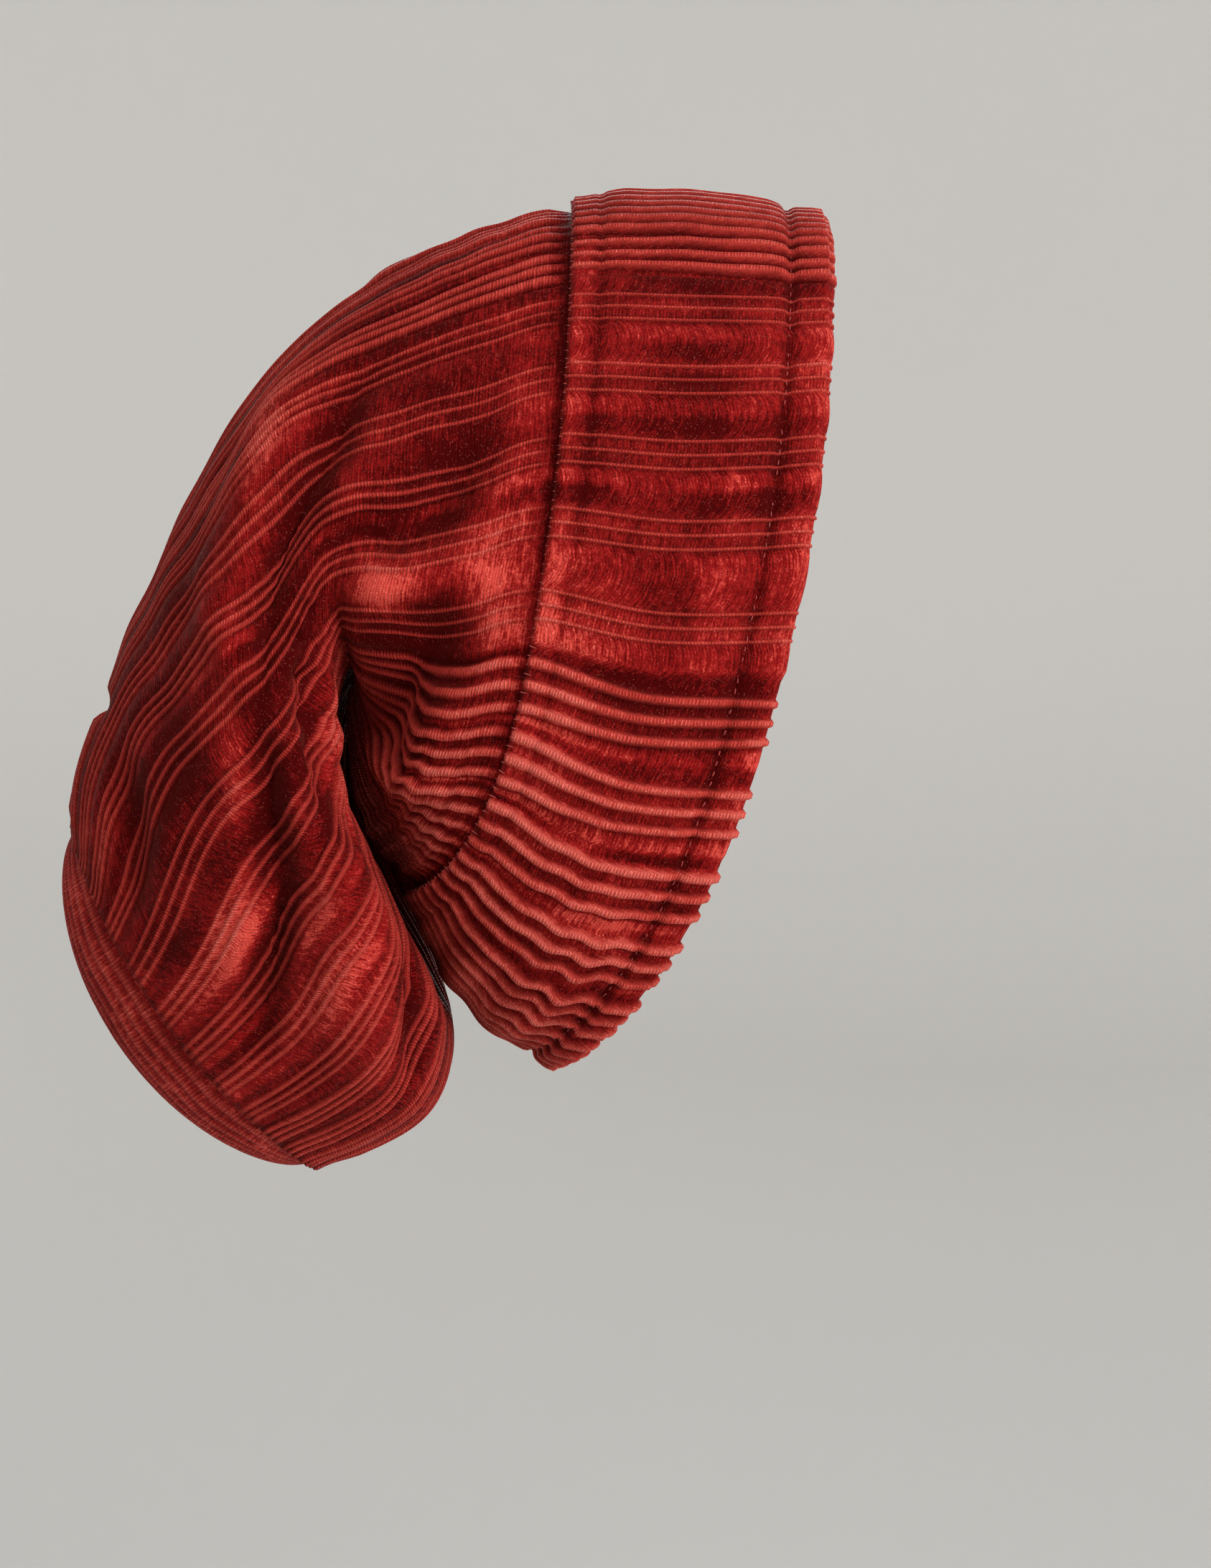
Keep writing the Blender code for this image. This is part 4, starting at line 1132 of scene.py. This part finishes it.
def stitch_tree():
    """Sews stitches along a line: small rounded threads at even steps, each lying across or along it."""
    tree, start, end = new_group(
        "stitches",
        (("Geometry", "Geometry", None), ("Spacing", "Float", 0.003), ("Along", "Float", 0.0016),
         ("Across", "Float", 0.0005), ("Thickness", "Float", 0.0005), ("Thread", "Material", None)),
        (("Geometry", "Geometry"),), "Geometry")
    line = add_node(tree, "GeometryNodeMeshToCurve", {"Mesh": start.outputs["Geometry"]})
    evened = add_node(tree, "GeometryNodeResampleCurve", {
        "Curve": line.outputs["Curve"], "Length": start.outputs["Spacing"]}, mode="LENGTH")
    outward = add_node(tree, "GeometryNodeInputNamedAttribute", {"Name": "out"}, data_type="FLOAT_VECTOR")
    tangent = add_node(tree, "GeometryNodeInputTangent")
    upright = add_node(tree, "FunctionNodeAlignRotationToVector", {
        "Vector": outward.outputs["Attribute"]}, axis="Z")
    turned = add_node(
        tree, "FunctionNodeAlignRotationToVector",
        {"Rotation": upright.outputs["Rotation"], "Vector": tangent.outputs["Tangent"]},
        axis="X", pivot_axis="Z")
    sway = add_node(tree, "FunctionNodeRandomValue", {
        2: -STITCH_SWAY, 3: STITCH_SWAY, "Seed": STITCH_SEED}, data_type="FLOAT")
    tilt = add_node(tree, "ShaderNodeCombineXYZ", {"Z": sway.outputs[1]})
    as_turn = add_node(tree, "FunctionNodeEulerToRotation", {0: tilt.outputs[0]})
    swayed = add_node(tree, "FunctionNodeRotateRotation", {
        "Rotation": turned.outputs["Rotation"], "Rotate By": as_turn.outputs[0]}, rotation_space="LOCAL")
    bead = add_node(tree, "GeometryNodeMeshUVSphere", {"Segments": 8, "Rings": 5, "Radius": 0.5})
    size = add_node(tree, "ShaderNodeCombineXYZ", {
        "X": start.outputs["Along"], "Y": start.outputs["Across"], "Z": start.outputs["Thickness"]})
    sewn = add_node(tree, "GeometryNodeInstanceOnPoints", {
        "Points": evened.outputs["Curve"], "Instance": bead.outputs["Mesh"],
        "Rotation": swayed.outputs["Rotation"], "Scale": size.outputs[0]})
    real = add_node(tree, "GeometryNodeRealizeInstances", {"Geometry": sewn.outputs["Instances"]})
    smooth = add_node(tree, "GeometryNodeSetShadeSmooth", {"Geometry": real.outputs["Geometry"]})
    painted = add_node(tree, "GeometryNodeSetMaterial", {
        "Geometry": smooth.outputs["Geometry"], "Material": start.outputs["Thread"]})
    set_inputs(tree, end, {"Geometry": painted.outputs["Geometry"]})
    return tree


def sewn_line(name, guide, tree, values):
    """The stitches that the tree sews along a guide, as a plain mesh."""
    modifier = guide.modifiers.new("sew", "NODES")
    modifier.node_group = tree
    for item in tree.interface.items_tree:
        if item.item_type == "SOCKET" and item.in_out == "INPUT" and item.name in values:
            modifier[item.identifier] = values[item.name]
    graph = bpy.context.evaluated_depsgraph_get()
    mesh = bpy.data.meshes.new_from_object(guide.evaluated_get(graph))
    bpy.data.objects.remove(guide, do_unlink=True)
    mesh.name = name
    piece = bpy.data.objects.new(name, mesh)
    bpy.context.scene.collection.objects.link(piece)
    return piece


# Settings


def length_setting(name, about, default):
    return bpy.props.FloatProperty(name=name, description=about, default=default, min=0.0, precision=5,
                                   subtype="DISTANCE", unit="LENGTH")


def colour_setting(name, about, default):
    return bpy.props.FloatVectorProperty(name=name, description=about, default=default, size=4, min=0.0,
                                         max=1.0, subtype="COLOR")


def share_setting(name, about, default, low=0.0, high=1.0):
    return bpy.props.FloatProperty(name=name, description=about, default=default, min=low, max=high)


class BeanieCloth(bpy.types.PropertyGroup):
    ridge_pitch: length_setting("Ridge pitch", "Distance between a pleat's three ridges", 0.0040)
    ridge_half_open: length_setting(
        "Ridge half width, open", "Half a ridge's width on stretched cloth", 0.00065)
    ridge_half_closed: length_setting(
        "Ridge half width, closed", "Half a ridge's width on bunched cloth", 0.0020)
    ridge_open: length_setting("Ridge height, open", "Height of the ridges on stretched cloth", 0.0007)
    ridge_closed: length_setting("Ridge height, closed", "Height of the ridges on bunched cloth", 0.0015)
    valley_depth: length_setting("Valley depth", "Depth between the ridges on bunched cloth", 0.0008)
    open_pitch_share: share_setting(
        "Pitch share", "A ridge's pitch on stretched cloth, as a share of its pleat's width",
        0.2, 0.05, 0.33)
    bag_fullness: share_setting(
        "Bag fullness", "How much fuller the open ridges are on the bag than on the cuff", 1.5, 0.5, 2.0)
    strip_bulge: length_setting(
        "Strip bulge", "How high a strip of stretched cloth stands at its middle", 0.0010)
    # Painted light on a strip's upper side and painted shade on its lower side
    strip_painted_light: share_setting(
        "Strip tilt", "How much brighter a strip's upper side is brushed than its lower side", 0.13)
    shade_variation: share_setting("Shade variation", "How much the pleats' brushed pile differs", 0.20)
    width_variation: share_setting("Pleat variation", "How much the pleats' widths differ", 0.28, high=0.8)


class BeanieColours(bpy.types.PropertyGroup):
    # Deep pile is also the colour of the painted shade, bright pile the colour of the painted light and
    # highlights
    deep: colour_setting("Deep pile", "Pile that is pressed dark", (0.045, 0.0012, 0.0014, 1.0))
    middle: colour_setting("Middle pile", "Pile between dark and bright", (0.260, 0.0085, 0.0082, 1.0))
    bright: colour_setting("Bright pile", "Pile that is brushed up bright", (0.600, 0.0630, 0.0460, 1.0))
    # The glint colour paints glints, highlights on the pile
    glint: colour_setting("Glint", "Bright threads in the pile", (0.900, 0.212, 0.165, 1.0))
    sheen: colour_setting("Sheen", "Sheen of the pile at a low angle", (1.000, 0.200, 0.140, 1.0))
    back: colour_setting("Cloth back", "The cloth's knitted back", (0.180, 0.0120, 0.0100, 1.0))
    thread: colour_setting("Thread", "Sewing thread", (0.360, 0.0300, 0.0220, 1.0))
    thread_dark: colour_setting("Dark thread", "The thread's dark side", (0.120, 0.0060, 0.0050, 1.0))


class BeanieStitches(bpy.types.PropertyGroup):
    seam_spacing: length_setting("Seam step", "Step between the seam's stitches", 0.0026)
    seam_length: length_setting("Seam stitch", "Length of a stitch across the seam", 0.0026)
    channel_spacing: length_setting("Channel step", "Step between the channel's stitches", 0.0030)
    channel_length: length_setting("Channel stitch", "Length of a stitch along the channel", 0.0018)
    thread_width: length_setting("Thread width", "Width of the sewing thread", 0.00045)


class BeanieStage(bpy.types.PropertyGroup):
    floor_drop: length_setting("Floor below", "How far the floor lies below the hat's seat", 0.80)
    floor_radius: length_setting("Floor radius", "Radius of the round backdrop", 2.60)
    floor_colour: colour_setting("Floor", "Colour of the floor and backdrop", (0.76, 0.745, 0.72, 1.0))
    lens: bpy.props.FloatProperty(name="Lens", description="The camera's focal length", default=91.99,
                                  min=10.0, unit="CAMERA")


def colours_of(settings):
    return {name: tuple(getattr(settings, name)) for name in BeanieColours.__annotations__}


def shared_groups():
    groups = {}
    for key, name, build in (("pile", "crushed_pile", pile_group), ("knit", "knit_bars", knit_group),
                             ("glints", "glints", glint_group)):
        groups[key] = bpy.data.node_groups.get(name) or build()
    return groups


def cloth_materials(context, name, patch_size):
    colours = colours_of(context.scene.beanie_colours)
    groups = shared_groups()
    return (velvet_material(name, colours, groups, patch_size),
            back_material(name + "_back", colours, groups))


# Operators


class BEANIE_OT_crown(bpy.types.Operator):
    """Make the pleated bag behind the cuff, folded over into its lobe"""
    bl_idname = "beanie.crown"
    bl_label = "Make Crown"

    def execute(self, context):
        piece = make_crown(context.scene.beanie_cloth, cloth_materials(context, "crown_velvet", 42.0))
        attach(piece, "root")
        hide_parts("crown")
        return {"FINISHED"}


class BEANIE_OT_cuff(bpy.types.Operator):
    """Make the doubled cuff with its front fold, drawn channel and rear edge"""
    bl_idname = "beanie.cuff"
    bl_label = "Make Cuff"

    def execute(self, context):
        piece = make_cuff(context.scene.beanie_cloth, cloth_materials(context, "cuff_velvet", 48.0))
        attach(piece, "root")
        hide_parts("cuff")
        return {"FINISHED"}


class BEANIE_OT_end_panel(bpy.types.Operator):
    """Make the narrow bulged panel that closes the bag's end"""
    bl_idname = "beanie.end_panel"
    bl_label = "Make End Panel"

    def execute(self, context):
        piece = make_end_panel(context.scene.beanie_cloth, cloth_materials(context, "panel_velvet", 50.0))
        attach(piece, "root")
        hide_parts("end_panel")
        return {"FINISHED"}


class BEANIE_OT_stitches(bpy.types.Operator):
    """Sew the cuff's rear edge and the channel near its front"""
    bl_idname = "beanie.stitches"
    bl_label = "Sew Stitches"

    def execute(self, context):
        stitch = context.scene.beanie_stitches
        thread = thread_material(colours_of(context.scene.beanie_colours), shared_groups())
        tree = stitch_tree()
        seam = seam_guide("seam_guide", CUFF_WIDTH - SEAM_LINE_IN, SEWN_GAP + CUFF_WALL * SEAM_LINE_LIFT)
        channel = seam_guide("channel_guide", CUFF_WIDTH * CHANNEL_BACK,
                             SEWN_GAP + CUFF_WALL * CHANNEL_LINE_LIFT)
        pieces = (
            sewn_line("seam_stitches", seam, tree, {
                "Spacing": stitch.seam_spacing, "Along": stitch.thread_width, "Across": stitch.seam_length,
                "Thickness": stitch.thread_width, "Thread": thread}),
            sewn_line("channel_stitches", channel, tree, {
                "Spacing": stitch.channel_spacing, "Along": stitch.channel_length,
                "Across": stitch.thread_width, "Thickness": stitch.thread_width, "Thread": thread}),
        )
        for piece in pieces:
            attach(piece, "root")
        return {"FINISHED"}


def area_light(name, place, size, power, at):
    """A soft round light, turned to a point."""
    data = bpy.data.lights.new(name, "AREA")
    data.shape = "DISK"
    data.size = size
    data.energy = power
    light = bpy.data.objects.new(name, data)
    light.location = place
    direction = np.array(at) - np.array(place)
    flat = math.hypot(direction[0], direction[1])
    light.rotation_euler = (math.atan2(flat, -direction[2]), 0.0, math.atan2(-direction[0], direction[1]))
    bpy.context.scene.collection.objects.link(light)


def make_floor(stage):
    """A round floor that curves up into a backdrop on every side."""
    radius, low = stage.floor_radius, -stage.floor_drop
    inner = radius - FLOOR_RISE
    profile = [(inner, low)]
    profile += [(inner + FLOOR_RISE * math.sin(bend), low + FLOOR_RISE * (1 - math.cos(bend)))
                for bend in FLOOR_BENDS]
    profile += [(radius, low + FLOOR_RISE + step) for step in FLOOR_STEPS]
    points, faces = [(0.0, 0.0, low)], []
    for away, height in profile:
        for turn in range(FLOOR_TURNS):
            angle = 2 * math.pi * turn / FLOOR_TURNS
            points.append((away * math.cos(angle), away * math.sin(angle), height))
    for turn in range(FLOOR_TURNS):
        faces.append((0, 1 + turn, 1 + (turn + 1) % FLOOR_TURNS))
    faces += grid_faces(len(profile), FLOOR_TURNS, 1, outward=False)
    material, tree, shader, position = new_material("pale_backdrop")
    colour = tuple(stage.floor_colour)
    flat, clouded = ((*(share * value for value in colour[:3]), 1.0)
                     for share in (FLOOR_SHADE, CLOUD_SHADE))
    height = add_node(tree, "ShaderNodeSeparateXYZ", {0: position}).outputs["Z"]
    backdrop = mixed(tree, noise(tree, position, 1.3, 2.0), clouded, colour)
    set_inputs(tree, shader, {
        "Base Color": mixed(tree, between(tree, height, low, low + FLOOR_RISE), flat, backdrop),
        "Roughness": 0.9,
        "Specular IOR Level": 0.1,
    })
    return add_object("floor", points, faces, (material,))


class BEANIE_OT_stage(bpy.types.Operator):
    """Set the pale round floor, the soft lights and the camera"""
    bl_idname = "beanie.stage"
    bl_label = "Set Stage"

    def execute(self, context):
        stage = context.scene.beanie_stage
        make_floor(stage)
        for name, place, size, power in LIGHTS:
            area_light(name, place, size, power, LIT_MIDDLE)
        world = bpy.data.worlds.new("studio")
        world.use_nodes = True
        set_inputs(world.node_tree, world.node_tree.nodes["Background"],
                   {"Color": WORLD_COLOUR, "Strength": WORLD_STRENGTH})
        context.scene.world = world
        context.scene.view_settings.view_transform = "Standard"
        camera = bpy.data.objects.new("camera", bpy.data.cameras.new("camera"))
        camera.location = CAMERA_PLACE
        camera.rotation_euler = (math.pi / 2, 0.0, 0.0)
        camera.data.lens = stage.lens
        camera.data.sensor_width = SENSOR_WIDTH
        camera.data.clip_end = CAMERA_REACH
        context.scene.collection.objects.link(camera)
        context.scene.camera = camera
        return {"FINISHED"}


class BEANIE_PT_panel(bpy.types.Panel):
    """The beanie's steps and settings"""
    bl_label = "Slouchy Beanie"
    bl_idname = "BEANIE_PT_panel"
    bl_space_type = "VIEW_3D"
    bl_region_type = "UI"
    bl_category = "Beanie"

    def draw(self, context):
        for step in STEPS:
            self.layout.operator(step)
        for settings in (context.scene.beanie_cloth, context.scene.beanie_colours,
                         context.scene.beanie_stitches, context.scene.beanie_stage):
            box = self.layout.box()
            for name in settings.__annotations__:
                box.prop(settings, name)


STEPS = ("beanie.crown", "beanie.cuff", "beanie.end_panel", "beanie.stitches", "beanie.stage")
SETTINGS = (
    ("beanie_cloth", BeanieCloth),
    ("beanie_colours", BeanieColours),
    ("beanie_stitches", BeanieStitches),
    ("beanie_stage", BeanieStage),
)
CLASSES = (BeanieCloth, BeanieColours, BeanieStitches, BeanieStage, BEANIE_OT_crown, BEANIE_OT_cuff,
           BEANIE_OT_end_panel, BEANIE_OT_stitches, BEANIE_OT_stage, BEANIE_PT_panel)


def register():
    for made in CLASSES:
        bpy.utils.register_class(made)
    for name, group in SETTINGS:
        setattr(bpy.types.Scene, name, bpy.props.PointerProperty(type=group))


def unregister():
    for name, _ in reversed(SETTINGS):
        delattr(bpy.types.Scene, name)
    for made in reversed(CLASSES):
        bpy.utils.unregister_class(made)


def main():
    register()
    for step in STEPS:
        group, name = step.split(".")
        getattr(getattr(bpy.ops, group), name)()


if __name__ == "__main__":
    main()
